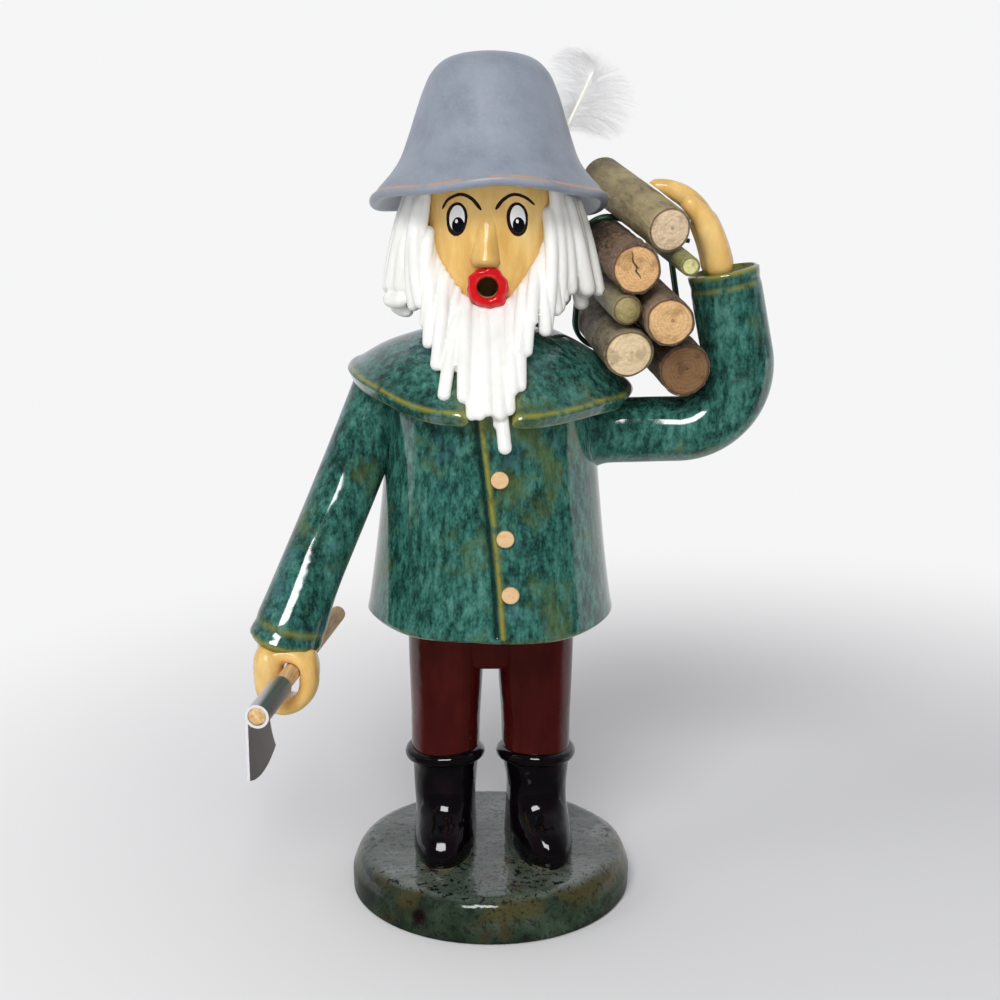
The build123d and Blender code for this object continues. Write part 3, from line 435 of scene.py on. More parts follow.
for side, sign, toe_out in (("left", 1, 14.0), ("right", -1, 3.0)):
    rise, half, toe, heel = (column[:, None] for column in smooth_through(boot_levels, 110).T)
    turn = full_turn(180)
    reach = np.where(np.cos(turn) > 0, toe, heel)
    across = half * squarish(np.sin(turn), 0.88)
    along = -reach * squarish(np.cos(turn), 0.92)
    yaw = math.radians(sign * toe_out)
    boot = joined(
        sign * LEG_OUT + across * math.cos(yaw) - along * math.sin(yaw),
        across * math.sin(yaw) + along * math.cos(yaw),
        PLINTH_TOP + rise,
    )
    boot[..., :2] += 0.3 * hand_wobble(boot, 18, 3 + sign)[..., None]
    sole = bell(boot[..., 2], PLINTH_TOP + 0.3, 0.45)
    boot_piece = clay_skin(f"boot_{side}_clay", boot, sole=sole)
    fit_on(boot_piece, boot_black, "lower_figure", "boot_glaze", f"boot_{side}")

    round_the_leg = full_turn(144)[:, None]
    roll = full_turn(28)
    out = 11.8 + 2.7 * np.cos(roll) + 0.25 * np.sin(3 * round_the_leg + sign)
    up = BOOT_TOP + 2.0 + 2.5 * np.sin(roll) + 0.4 * np.sin(2 * round_the_leg + 1 + sign)
    top_roll = joined(sign * LEG_OUT + out * np.sin(round_the_leg), -out * np.cos(round_the_leg), up)
    roll_piece = clay_skin(f"boot_top_{side}_clay", top_roll, closed=True, sole=0.0)
    fit_on(roll_piece, boot_black, "lower_figure", "boot_glaze", f"boot_cuff_{side}")

# Trouser legs
# Two thick rolls of clay under the jacket and the seat pressed over them, in a red-brown glaze that is darker
# where it ran thick.
trouser_glaze, shader, place = shader_tree("trouser glaze")
runs = mottle(place, 60.0, 3.0, (1.0, 1.0, 0.35))
reds = shades(
    runs, (0.34, (0.038, 0.0036, 0.0031)), (0.50, (0.056, 0.0056, 0.0042)), (0.70, (0.082, 0.0105, 0.0068))
)
coat(shader, reds, 0.08)
orange_peel(shader, place, 80.0, 0.0008)
for side, sign in (("left", 1), ("right", -1)):
    leg_line = evenly(np.array([(12.3, 49.8), (12.6, 66.0), (13.5, 86.0), (13.7, 95.6), (13.6, 111.0)]), 70)
    leg = turned(leg_line, full_turn(120))
    leg[..., :2] *= 1 + 0.014 * hand_wobble(leg + 40 * sign, 26, 8)[..., None] * (leg[..., 2:] < 96)
    leg[..., 0] += sign * (LEG_OUT - 0.5 * np.clip((leg[..., 2] - 50) / 35, 0, 1))
    leg_piece = clay_skin(f"leg_{side}_clay", leg)
    fit_on(leg_piece, trouser_glaze, "lower_figure", "trouser_glaze", f"trouser_leg_{side}")


def press_together(piece, grain_size, passes):
    """Fuses the rolls of a piece into one skin: remeshed in cubes of the grain size, then smoothed."""
    fuse = piece.modifiers.new("fuse", "REMESH")
    fuse.mode = "VOXEL"
    fuse.voxel_size = grain_size * 0.001
    fuse.use_smooth_shade = True
    soften = piece.modifiers.new("soften", "SMOOTH")
    soften.factor = 0.5
    soften.iterations = passes
    bpy.context.view_layer.update()
    pressed = bpy.data.meshes.new_from_object(piece.evaluated_get(bpy.context.evaluated_depsgraph_get()))
    piece.modifiers.clear()
    piece.data = pressed


# Levels of the seat: height, half width and half depth
seat_levels = np.array([
    (84.4, 5.0, 4.6), (84.9, 9.0, 7.6), (86.4, 12.5, 9.2), (90.0, 15.0, 9.8), (94.5, 20.0, 10.2),
    (99.0, 27.4, 10.8), (104.0, 29.0, 11.8), (111.9, 29.9, 13.5),
])
rise, half, deep = (column[:, None] for column in smooth_through(seat_levels, 60).T)
seat_turn = full_turn(160)
seat = joined(half * squarish(np.sin(seat_turn), 0.62), -deep * squarish(np.cos(seat_turn), 0.45), rise)
seat_piece = clay_skin("seat_clay", seat)
press_together(seat_piece, 0.6, 8)
fit_on(seat_piece, trouser_glaze, "lower_figure", "trouser_glaze", "trouser_hip")

# Burner plate and incense cone
# The plate was left unglazed and is sooty round the well where the pressed cone burns down to ash.
bare_clay, shader, place = shader_tree("sooty clay")
flat = wire_up("VectorMath", {0: place, 1: (1.0, 1.0, 0.0)}, operation="MULTIPLY").outputs[0]
from_middle = wire_up("VectorMath", {0: flat}, operation="LENGTH").outputs["Value"]
soot = soft_step(reckon("ADD", from_middle, times(mottle(place, 150.0), 0.012)), 0.027, 0.012)
clay = blended(mottle(place, 900.0), (0.50, 0.35, 0.23), (0.66, 0.50, 0.36))
coat(shader, blended(soot, clay, (0.05, 0.04, 0.035)), 0.85)
orange_peel(shader, place, 1400.0, 0.0003)
dress(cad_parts["burner_plate"], bare_clay)


def two_tone(name, spots, first, second, roughness, peel=0.0, depth=0.0):
    """A finish that wanders between two colours, spots to the metre, rippled where a peel is given."""
    finish, shader, place = shader_tree(name)
    coat(shader, blended(mottle(place, spots), first, second), roughness)
    if peel:
        orange_peel(shader, place, peel, depth)
    return finish


incense = two_tone("pressed incense", 2200.0, (0.055, 0.032, 0.02), (0.15, 0.095, 0.06), 0.95, 2600.0, 0.0004)
dress(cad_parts["incense_cone"], incense)

# Jacket
# A bell of slab clay, hollow for the smoke, with a ledge inside that stands on the burner plate. The front
# opening is a groove with a raised edge. The green glaze is full of dark crystals and breaks to olive on
# every edge.
green_glaze, shader, place = shader_tree("green crystal glaze")
crystals = mottle(place, 430.0, 6.0, (1.0, 1.0, 0.42))
grains = mottle(place, 1300.0, 2.0, (1.0, 1.0, 0.6))
drift = mottle(place, 70.0, 4.0, (1.0, 1.0, 0.5))
tone = reckon("ADD", times(crystals, 0.52), times(drift, 0.26))
tone = reckon("ADD", tone, times(grains, 0.22))
greens = shades(
    tone, (0.38, (0.004, 0.020, 0.018)), (0.455, (0.012, 0.060, 0.048)), (0.52, (0.030, 0.128, 0.102)),
    (0.59, (0.062, 0.195, 0.160)), (0.68, (0.125, 0.270, 0.225)),
)
olive_patch = soft_step(mottle(place, 44.0, 4.0), 0.53, 0.68)
greens = blended(olive_patch, greens, (0.100, 0.130, 0.024), 0.55)
blue_patch = soft_step(mottle(place, 58.0, 3.0, (1.3, 0.8, 1.0)), 0.60, 0.72)
greens = blended(blue_patch, greens, (0.060, 0.155, 0.190), 0.45)
edge_break = times(mark_of(place, "edge"), soft_step(mottle(place, 230.0, 3.0), 0.26, 0.50))
greens = blended(edge_break, greens, (0.255, 0.245, 0.040))
# Painted shade: near-black green laid in the front groove, in the collar's groove under its rim and in the
# fold by each cuff.
greens = blended(mark_of(place, "pool"), greens, (0.003, 0.018, 0.017), 0.85)
coat(shader, greens, 0.09)
shader.inputs["IOR"].default_value = 1.72
orange_peel(shader, place, 110.0, 0.0002)

HEM = 105.2
NECK = 206.0
outer_line = smooth_through([(43.4, 107.6), (42.0, 117.0), (37.2, 159.0), (34.2, 185.0), (17.0, NECK)], 96)
over_neck = np.array([(16.0, NECK), (9.0, NECK), (9.0, 201.5), (13.0, 201.3)])
inner_line = smooth_through([(13.0, 201.3), (29.6, 182.5), (32.7, 159.0), (37.0, 126.2)], 40)
ledge_line = np.array([(33.2, 119.4), (33.0, 117.0), (37.4, 117.0), (38.8, 107.4)])
hem_turn = np.linspace(np.pi, 2 * np.pi, 12)
hem_line = joined(41.1 + 2.3 * np.cos(hem_turn), 107.5 + 2.3 * np.sin(hem_turn))
jacket_line = np.concatenate([outer_line, over_neck, inner_line[1:], ledge_line, hem_line[1:-1]])
column = full_turn(480)
jacket_turn = column - 0.62 * np.sin(column)
jacket = turned(jacket_line, jacket_turn)
is_outer = (np.arange(len(jacket_line)) < len(outer_line))[:, None]
x, y, z = (jacket[..., axis] for axis in range(3))
hem_share = np.exp(-(z - HEM) / 7.0)
jacket[..., 2] += 0.75 * hand_wobble(jacket * (1, 1, 0), 40, 11) * hem_share
jacket[..., :2] *= 1 + 0.009 * hand_wobble(jacket, 48, 12)[..., None] * is_outer[..., None]
OPENING_X = -2.2
OPENING_LEAN = 0.091
from_opening = x - OPENING_X + OPENING_LEAN * (z - 159.0) - 0.5 * np.sin(z / 17.0)
front = is_outer * (y < 0) * np.clip((201 - z) / 12, 0, 1)
groove = bell(from_opening, 0, 0.8) * front
flap = bell(from_opening, 1.9, 0.95) * front
spread = (-1.2 * groove + 0.75 * flap) / np.hypot(x, y)
jacket[..., :2] *= 1 + spread[..., None]
neckline = np.clip((z - 172) / 10, 0, 1) * bell(x, 3, 9.0) * front
jacket_edge = np.clip(flap * 0.95 + 0.55 * neckline + 0.25 * bell(z, HEM, 1.3), 0, 1)
# The groove is darkened with painted shade.
jacket_piece = clay_skin("jacket_clay", jacket, closed=True, edge=jacket_edge, pool=groove)
fit_on(jacket_piece, green_glaze, "upper_figure", "jacket_glaze", "jacket")

# Buttons
# Three slices sawn from a thin dowel and glued on beside the opening, end grain showing.
dowel_end, shader, place = shader_tree("dowel end grain")
pores = mottle(place, 2600.0, 2.0)
grain = mottle(place, 700.0, 3.0, (0.3, 1.0, 1.0))
pale = blended(grain, (0.60, 0.36, 0.16), (0.86, 0.60, 0.33))
coat(shader, blended(soft_step(pores, 0.58, 0.74), pale, (0.42, 0.24, 0.10)), 0.6)
orange_peel(shader, place, 2600.0, 0.0002)
DOWEL_RADIUS = 2.95
BUTTON_LEAN = math.radians(6.5)


def node_box(node):
    """A CAD node's lowest and highest corner in millimetres."""
    return (np.array(corner) * 1000 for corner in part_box(node))


for node in ("button_top", "button_middle", "button_bottom"):
    low, high = node_box(node)
    middle = (low + high) / 2
    corners = [(0.05, 1.9), (DOWEL_RADIUS, 1.9), (DOWEL_RADIUS, -0.6), (0.05, -0.6)]
    disc = turned(evenly(soft_line(corners, [0.45, 0.3])[::-1], 40), full_turn(72))
    disc[..., 2] += 0.05 * hand_wobble(disc, 3, 17)
    across, away, out = disc[..., 0], disc[..., 1], disc[..., 2]
    face = joined(
        middle[0] + across,
        low[1] + 1.75 - out * math.cos(BUTTON_LEAN) - away * math.sin(BUTTON_LEAN),
        middle[2] + away * math.cos(BUTTON_LEAN) + out * math.sin(BUTTON_LEAN),
    )
    fit_on(clay_skin(f"{node}_slice", face), dowel_end, "upper_figure", "dowel_wood", node)

# Collar
# A cape of slab clay laid round the neck, open under the beard, its thick rim turned up a little.
NECK_RADIUS = 17.6
COLLAR_TOP = 204.8
COLLAR_HALF_WIDTH = 48.2
COLLAR_HALF_DEPTH = 43.0


def round_end(share, least=0.0):
    """Rises along a quarter circle to one while the share goes from 0 to 1, its square never below the
    least."""
    return np.sqrt(np.clip(1 - (1 - np.clip(share, 0, 1)) ** 2, least, 1))


sweep = np.linspace(0, 1, 261)[:, None]
section = evenly(soft_line(
    [(0.0, 2.2), (0.55, 3.1), (1.0, 2.0), (1.0, -2.3), (0.5, -1.7), (0.0, -2.2), (0.0, 2.2)],
    [0.1, 0.05, 0.05, 0.1, 0.0],
), 130)[:-1]
outward = section[:, 0]
thick = section[:, 1]
slit_left = np.arcsin(np.clip(7.4 / (NECK_RADIUS + 26 * outward), 0, 1))
slit_right = np.arcsin(np.clip(6.9 / (NECK_RADIUS + 26 * outward), 0, 1))
turn = slit_left + sweep * (2 * np.pi - slit_left - slit_right)
across, along = np.sin(turn), np.cos(turn)
rim_reach = 1 / np.hypot(across / COLLAR_HALF_WIDTH, along / COLLAR_HALF_DEPTH)
drop = 18.5 + 8.0 * along**2 + 3.1 * across
wave = 0.9 * np.sin(3 * turn + 0.6) + 0.5 * np.sin(7 * turn + 2.0)
neck_to_rim = joined(rim_reach - NECK_RADIUS, 1.2 - drop + wave * outward)
slope = unit(neck_to_rim)
bulge = 1.4 * np.sin(np.pi * outward)
end_round = round_end(np.minimum(sweep, 1 - sweep) / 0.012, 0.0004)
rim_roll = 1 + 0.28 * bell(outward, 0.96, 0.06)
lift = thick * end_round * rim_roll + bulge
radius = NECK_RADIUS + outward * neck_to_rim[..., 0] - slope[..., 1] * lift
height = COLLAR_TOP + outward * neck_to_rim[..., 1] + slope[..., 0] * lift
collar = joined(radius * across, -radius * along, height)
collar += 0.25 * hand_wobble(collar, 20, 21)[..., None] * (0, 0, 1)
near_slit = np.exp(-np.minimum(sweep, 1 - sweep) / 0.010)
rim_edge = bell(outward, 0.965, 0.018) * (thick > 0.6) + 0.4 * (outward > 0.97) * (thick < -1.4)
rim_groove = bell(outward, 0.90, 0.03) * (thick > 0)
collar_edge = np.clip(rim_edge + near_slit * (thick > -1.5), 0, 1)
# The groove just inside the turned-up rim is darkened with painted shade, for the shadow under the rim.
collar_piece = clay_skin("collar_clay", collar, edge=collar_edge, pool=0.5 * rim_groove)
fit_on(collar_piece, green_glaze, "upper_figure", "jacket_glaze", "collar")


# Sleeves
# Hollow-looking rolls of clay: the right arm hangs down to the axe, the left one is bent up at the elbow to
# carry the wood. Each ends in a pressed cuff where the glaze breaks to olive.
def rolled(path, radius, upright, spin):
    """Rings round a path: a circle of the given radius across the path at each point, its start
    direction nearest to the upright."""
    along = unit(np.gradient(path, axis=-2))
    sideways = unit(np.cross(along, upright))
    up = np.cross(sideways, along)
    ring = np.cos(spin)[:, None] * up[..., None, :] + np.sin(spin)[:, None] * sideways[..., None, :]
    return path[..., None, :] + np.asarray(radius)[..., None, None] * ring


def parabola(share, start, bend, end):
    """The curve from start to end that is pulled towards a bend, at shares of the way."""
    return (1 - share) ** 2 * start + 2 * share * (1 - share) * bend + share**2 * end


SLEEVE_SPIN = full_turn(144)
right_arm = np.array([(-36.0, 0.5, 187.0), (-52.0, -9.0, 146.0), (-70.2, -31.0, 105.5)])
right_path = parabola(np.linspace(0, 1, 120)[:, None], *right_arm)
left_path = evenly(soft_line([(24, 0, 170), (91.5, 0, 171.2), (80.4, 0, 226)], [22.0], 40), 150)
for side, path, front, girth in (("right", right_path, -1.0, 11.0), ("left", left_path, 1.0, 11.4)):
    upright = np.array([0.0, front, 0.0])
    run = run_along(path)
    to_cuff = run[-1] - run
    radius = girth - 0.3 * bell(to_cuff, 4.6, 1.5) + 0.1 * bell(to_cuff, 0, 3.0)
    radius *= round_end((to_cuff + 0.9) / 1.6)
    if side == "left":
        raised = np.clip((path[:, 2] - 172.0) / 22.0, 0, 1)
        radius = (radius + 3.4 * bell(run, 8.0, 5.0)) * (1 + 0.075 * raised)
        path = path - (0.85 * raised)[:, None] * (1.0, 0.0, 0.0)
    skin = rolled(path, radius, upright, SLEEVE_SPIN)
    end_way = unit(path[-1] - path[-2])
    well = np.concatenate([np.linspace(0.93, 0.80, 5), np.linspace(0.76, 0.02, 7)])[:, None, None]
    sunk = np.concatenate([np.linspace(0.6, 4.5, 5), np.full(7, 5.0)])[:, None, None]
    mouth = path[-1] + (skin[-8] - path[-8]) * well - end_way * sunk
    skin = np.concatenate([skin, mouth])
    if side == "right":
        pull = 2.0 + 5.6 * np.cos(SLEEVE_SPIN - 0.25)
        near_cuff = np.concatenate([bell(to_cuff, 0, 14.0), np.ones(len(mouth))])
        skin += (near_cuff[:, None] * pull)[..., None] * end_way
        skin[..., 0] += 2.4 * near_cuff[:, None] * np.maximum(0, -np.sin(SLEEVE_SPIN))
    skin += 0.35 * hand_wobble(skin, 24, 31)[..., None] * upright
    cuff_gap = np.concatenate([to_cuff, np.zeros(len(mouth))])[:, None]
    break_line = np.clip(bell(cuff_gap, 0.6, 0.9) + 0.6 * bell(cuff_gap, 5.6, 0.9), 0, 1)
    # The groove near the cuff is darkened with painted shade.
    fold = 0.4 * bell(cuff_gap, 4.4, 0.8)
    sleeve_piece = clay_skin(f"sleeve_{side}_clay", skin, edge=break_line, pool=fold)
    fit_on(sleeve_piece, green_glaze, "upper_figure", "jacket_glaze", f"sleeve_{side}")

# Hands
# Ochre clay. The right hand is a roll curled to a ring round the axe handle, the left an open hand whose two
# fingers lie over the top log.
skin_glaze, shader, place = shader_tree("ochre glaze")
brushed = mottle(place, 130.0, 4.0, (1.0, 1.0, 0.35))
warm = shades(
    brushed, (0.30, (0.64, 0.375, 0.100)), (0.52, (0.78, 0.505, 0.168)), (0.75, (0.86, 0.615, 0.255))
)
# Painted shade: brown laid under the nose and down one side of its ridge.
warm = blended(mark_of(place, "pool"), warm, (0.30, 0.145, 0.036))
coat(shader, warm, 0.2)
shader.inputs["Specular IOR Level"].default_value = 0.4
shader.inputs["Subsurface Weight"].default_value = 0.05
shader.inputs["Subsurface Scale"].default_value = 0.001
orange_peel(shader, place, 170.0, 0.0005)


def strands(roots, bends, tips, thick, thin, outward, flat=1.0, rows=24, cols=14):
    """Rolled strands as shells: each follows a parabola from root to tip, pulled towards its bend, thins from
    one radius to the other, is flattened square to the outward direction and ends in half balls."""
    share = (0.5 - 0.5 * np.cos(np.linspace(0, np.pi, rows)))[None, :, None]
    path = parabola(share, roots[:, None], bends[:, None], tips[:, None])
    run = np.cumsum(np.linalg.norm(np.diff(path, axis=1, prepend=path[:, :1]), axis=-1), axis=1)
    total = run[:, -1:]
    radius = np.reshape(thick, (-1, 1)) + np.reshape(np.subtract(thin, thick), (-1, 1)) * run / total
    radius = radius * round_end(np.minimum(run, total - run) / radius, 0.0003)
    along = unit(np.gradient(path, axis=1))
    sideways = unit(np.cross(along, outward[:, None]))
    up = np.cross(sideways, along)
    spin = full_turn(cols)[:, None]
    ring = np.cos(spin) * up[:, :, None] / flat + np.sin(spin) * sideways[:, :, None] * flat
    return path[:, :, None] + radius[:, :, None, None] * ring


def strand_set(rows, outward, *kind):
    """Strands from a table, each row a root, a bend, a tip and the two radii."""
    roots, bends, tips, radii = np.split(np.array(rows, float), [3, 6, 9], axis=1)
    return strands(roots, bends, tips, radii[:, 0], radii[:, 1], outward, *kind)


def lump(middle, halves):
    """Ball of clay as rings from its lower to its upper end, squeezed to three half widths."""
    up = np.linspace(-0.5 * np.pi + 0.03, 0.5 * np.pi - 0.03, 30)[:, None]
    turn = full_turn(48)
    ball = joined(np.cos(up) * np.sin(turn), np.cos(up) * np.cos(turn), np.sin(up))
    return np.asarray(middle) + ball * halves


def clear_of(piece, start, run, ways, radius):
    """Pushes the points of a piece out of the way of a round bar: in the plane of two ways, no point stays
    nearer than the radius to the line from the start along the run."""
    count = len(piece.data.vertices)
    points = np.empty(3 * count, np.float32)
    piece.data.vertices.foreach_get("co", points)
    points = points.reshape(count, 3) * 1000.0
    spot = points @ ways.T - ways @ start
    line = ways @ run
    share = np.clip(spot @ line / max(line @ line, 1e-9), 0, 1)
    off = spot - share[:, None] * line
    gap = np.linalg.norm(off, axis=1, keepdims=True)
    points += (off * np.maximum(radius - gap, 0) / np.maximum(gap, 0.05)) @ ways
    piece.data.vertices.foreach_set("co", (points * 0.001).astype(np.float32).ravel())
    piece.data.update()


handle_rear = np.array([-57.0, 25.0, 96.1])
handle_front = np.array([-72.1, -82.8, 95.4])
handle_way = unit(handle_front - handle_rear)
handle_side = unit(np.cross(handle_way, (0.0, 0.0, -1.0)))
handle_side *= np.sign(handle_side[0])
handle_up = np.cross(handle_way, handle_side)
handle_up *= np.sign(handle_up[2])
handle_plane = np.stack([handle_side, handle_up])
fist_middle = np.array([-68.0, -38.4, 91.6])
bend = full_turn(120)[:, None]
roll = full_turn(40)
fat = 3.05 + 0.3 * np.cos(bend) - 0.4 * np.sin(bend) + 0.55 * np.sin(bend) ** 2
wide = 7.0 - 2.2 * np.cos(bend - 0.5)
away = joined(np.sin(bend), np.cos(bend))
loop = away * (7.35, 9.05) + (0.0, 0.85)
curl = fist_middle + (loop + away * (fat * np.cos(roll))[..., None]) @ handle_plane
curl = curl + (wide * np.sin(roll))[..., None] * handle_way
fist_piece = clay_skin("curled_hand_clay", curl, closed=True)
palm_lumps = np.stack([
    lump((-69.4, -34.0, 102.6), (9.4, 7.2, 5.8)), lump((-69.8, -30.0, 107.4), (8.6, 7.4, 7.0)),
    lump((-74.6, -38.0, 96.8), (5.2, 8.0, 8.6)), lump((-60.6, -37.2, 95.2), (3.2, 7.4, 7.6)),
])
palm_piece = clay_skin("palm_clay", palm_lumps)
lumps = [fist_piece, palm_piece]
picked = {"active_object": fist_piece, "selected_objects": lumps, "selected_editable_objects": lumps}
with bpy.context.temp_override(**picked):
    bpy.ops.object.join()
press_together(fist_piece, 0.4, 30)
clear_of(fist_piece, handle_rear, handle_way, handle_plane, DOWEL_RADIUS + 0.45)
fit_on(fist_piece, skin_glaze, "upper_figure", "skin_glaze", "hand_right")

LOG_AXIS = unit(np.array([-0.12, 0.985, 0.09]))
TOP_AXIS = unit(np.array([-0.325, 0.914, 0.25]))
TOP_LOG_RADIUS = 7.8
BUNDLE_RIGHT = unit(np.cross(LOG_AXIS, (0.0, 0.0, 1.0)))
BUNDLE_UP = np.cross(BUNDLE_RIGHT, LOG_AXIS)
finger_bones = [
    (78.4, 0.4, 223.0, 76.8, 0.4, 235.0, 70.4, 0.6, 246.0, 5.9, 4.9),
    (78.4, -2.4, 223.0, 77.2, -4.2, 234.0, 71.4, -5.2, 244.0, 4.9, 4.1),
    (74.0, 2.0, 239.0, 68.6, 2.8, 254.6, 53.6, 2.6, 253.4, 4.6, 2.7),
    (74.0, -4.2, 238.5, 71.4, -6.0, 246.2, 64.4, -6.4, 249.8, 4.2, 2.8),
]
fingers = strand_set(finger_bones, np.array([[0.9, 0.0, 0.5]]), 1.0, 40, 40)
open_piece = clay_skin("open_hand_clay", fingers)
press_together(open_piece, 0.35, 12)


def log_place(node, radius, axis):
    """The middle of a log and its length along its axis: how deep its CAD box is, less what the radius takes
    up where the axis slants."""
    low, high = node_box(node)
    return (low + high) / 2, (high[1] - low[1] - 2 * radius * math.sqrt(1 - axis[1] ** 2)) / axis[1]


top_middle, top_length = log_place("log_1", TOP_LOG_RADIUS, TOP_AXIS)
top_front = top_middle - TOP_AXIS * top_length / 2
across_bundle = np.stack([BUNDLE_RIGHT, BUNDLE_UP])
clear_of(open_piece, top_front, 30.0 * TOP_AXIS, across_bundle, TOP_LOG_RADIUS + 0.55)
fit_on(open_piece, skin_glaze, "upper_figure", "skin_glaze", "hand_left")

# Axe
# A length of dowel with a blade of thin sheet rolled round its front end. Its front-facing edges are painted
# near white and less metallic as a painted highlight; the leaf is dull and scratched.
dowel_side, shader, place = shader_tree("dowel side grain")
streaks = mottle(place, 900.0, 3.0, (1.0, 0.06, 1.0))
wood = shades(streaks, (0.3, (0.50, 0.28, 0.11)), (0.55, (0.74, 0.48, 0.22)), (0.75, (0.84, 0.60, 0.34)))
coat(shader, wood, 0.55)
orange_peel(shader, place, 1500.0, 0.0002)
length = np.linalg.norm(handle_front - handle_rear)
rod_corners = [(0.02, 0.0), (DOWEL_RADIUS, 0.0), (DOWEL_RADIUS, length), (0.02, length)]
rod_line = evenly(soft_line(rod_corners, [2.3, 0.35]), 120)
rod_spin = full_turn(48)
rod = handle_rear + rod_line[:, 1, None, None] * handle_way + rod_line[:, 0, None, None] * (
    np.cos(rod_spin)[:, None] * handle_side + np.sin(rod_spin)[:, None] * handle_up
)
fit_on(clay_skin("axe_rod", rod), dowel_side, "axe", "dowel_wood", "axe_handle")

sheet_metal, shader, place = shader_tree("rolled sheet")
facing = place.node.outputs["Normal"]
# Painted highlight: the sheet's edges that face the front are made near white and less metallic.
edge_highlight = soft_step(wire_up("SeparateXYZ", {0: facing}).outputs["Y"], -0.88, -0.97)
on_leaf = soft_step(wire_up("SeparateXYZ", {0: place}).outputs["Z"], 0.0920, 0.0895)
tarnish = blended(on_leaf, (0.56, 0.54, 0.54), (0.32, 0.275, 0.265))
tarnish = blended(mottle(place, 90.0, 3.0), tarnish, (0.40, 0.36, 0.35), 0.4)
coat(shader, blended(edge_highlight, tarnish, (0.86, 0.86, 0.87)), 0.34)
bare = reckon("SUBTRACT", 1.0, times(edge_highlight, 0.8))
sheet_metal.node_tree.links.new(bare, shader.inputs["Metallic"])
dress(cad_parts["axe_blade"], sheet_metal)

# Head
# Thrown hollow and open below, so that the smoke comes up from the jacket and out through the bored mouth.
# The eyes and brows are painted on in thick glaze.
dress(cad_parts["head"], skin_glaze)
face_heights = np.array([206.0, 213.0, 220.7, 229.0, 238.34, 247.0, 255.0, 276.0])
face_radii = np.array([14.5, 17.6, 20.4, 22.4, 23.6, 23.98, 24.0, 23.0])


def painted(name, across, height, raised, **marks):
    """A patch of thick glaze on the face: points given across and up, laid on the head's round and raised by
    a thickness that sinks below the face at the patch's edge. Its points may carry marks."""
    radius = np.interp(height, face_heights, face_radii)
    front = -np.sqrt(np.maximum(radius**2 - across**2, 1.0))
    return clay_skin(name, joined(across, front - raised, height), **marks)


eye_white = two_tone("eye white", 420.0, (0.874, 0.874, 0.874), (0.95, 0.95, 0.95), 0.1)
brow_brown = two_tone("brow brown", 420.0, (0.01872, 0.0072, 0.00576), (0.026, 0.010, 0.008), 0.1)
pupil_black = two_tone("pupil black", 420.0, (0.00288, 0.00288, 0.00504), (0.004, 0.004, 0.007), 0.1)
EYE_HEIGHT = 244.3
spread = np.linspace(1, 0.02, 14)[:, None]
around = full_turn(64)
for side, middle, lean in (("right", -10.75, 0.06), ("left", 9.1, -0.06)):
    for layer, finish, dx, dz, half, tall, thick in (
        ("line", brow_brown, 0.0, 0.0, 3.9, 5.8, 0.28),
        ("white", eye_white, 0.1, 0.15, 2.85, 4.7, 0.42),
        ("pupil", pupil_black, 0.35, -1.75, 2.2, 3.0, 0.55),
        ("glint", eye_white, -0.05, -0.7, 0.6, 0.85, 0.68),
    ):
        up = tall * spread * np.cos(around)
        across = middle + dx + half * spread * np.sin(around) + lean * up
        dome = thick * np.sqrt(np.clip(1 - spread**4, 0, 1)) - 0.05
        patch = painted(f"eye_{layer}_{side}", across, EYE_HEIGHT + dz + up, dome)
        fit_on(patch, finish, "upper_figure", "skin_glaze")
brow_lines = {
    "right": [(-15.6, 247.2), (-13.6, 250.4), (-9.6, 252.2), (-5.8, 250.9), (-2.6, 247.2)],
    "left": [(1.9, 247.4), (4.4, 250.5), (7.8, 252.2), (11.6, 251.2), (14.9, 248.6)],
}
for side, line in brow_lines.items():
    stroke = smooth_through(line, 60)
    share = np.linspace(0, 1, 60)
    pressed = 1 - 0.35 * share if side == "left" else 0.65 + 0.35 * share
    pressure = 0.66 * np.sqrt(np.clip(np.minimum(share, 1 - share) / 0.08, 0.01, 1)) * pressed
    roll = full_turn(12)
    slope = unit(np.gradient(stroke, axis=0))
    across = stroke[:, 0, None] - slope[:, 1, None] * pressure[:, None] * np.cos(roll)
    up = stroke[:, 1, None] + slope[:, 0, None] * pressure[:, None] * np.cos(roll)
    brow = painted(f"brow_{side}", across, up, 0.20 * np.sin(roll) + 0.05)
    fit_on(brow, brow_brown, "upper_figure", "skin_glaze")

# Nose and lips
# The nose is a wedge pinched from one lump, square at the tip. The lips are a ring pressed round the smoke
# hole, glazed red, with a ragged smear at the lower left of the mouth.
spread = np.linspace(1, 0.01, 90)[:, None]
around = full_turn(180)
nose_x = -1.2 + 6.6 * spread * np.sin(around)
nose_z = 236.8 + 9.6 * spread * np.cos(around)
down = np.clip((245.6 - nose_z) / 15.6, 0, 1)
off_ridge = (nose_x + 0.6 + 1.0 * down) / (2.2 + 3.0 * down)
across_ridge = np.clip(1 - np.abs(off_ridge) ** 2.2, 0, 1) ** 0.85
under = np.sqrt(np.clip((nose_z - 228.5) / 2.8, 0, 1))
# The nose carries painted shade in brown under its tip and down the side of its ridge towards the figure's
# left.
nose = painted(
    "nose_clay", nose_x, nose_z, 6.4 * down**1.25 * across_ridge * under - 0.1 * spread**6,
    pool=0.55 * bell(nose_z, 229.2, 1.7) + 0.3 * bell(off_ridge, 0.95, 0.22) * down,
)
fit_on(nose, skin_glaze, "upper_figure", "skin_glaze", "nose")

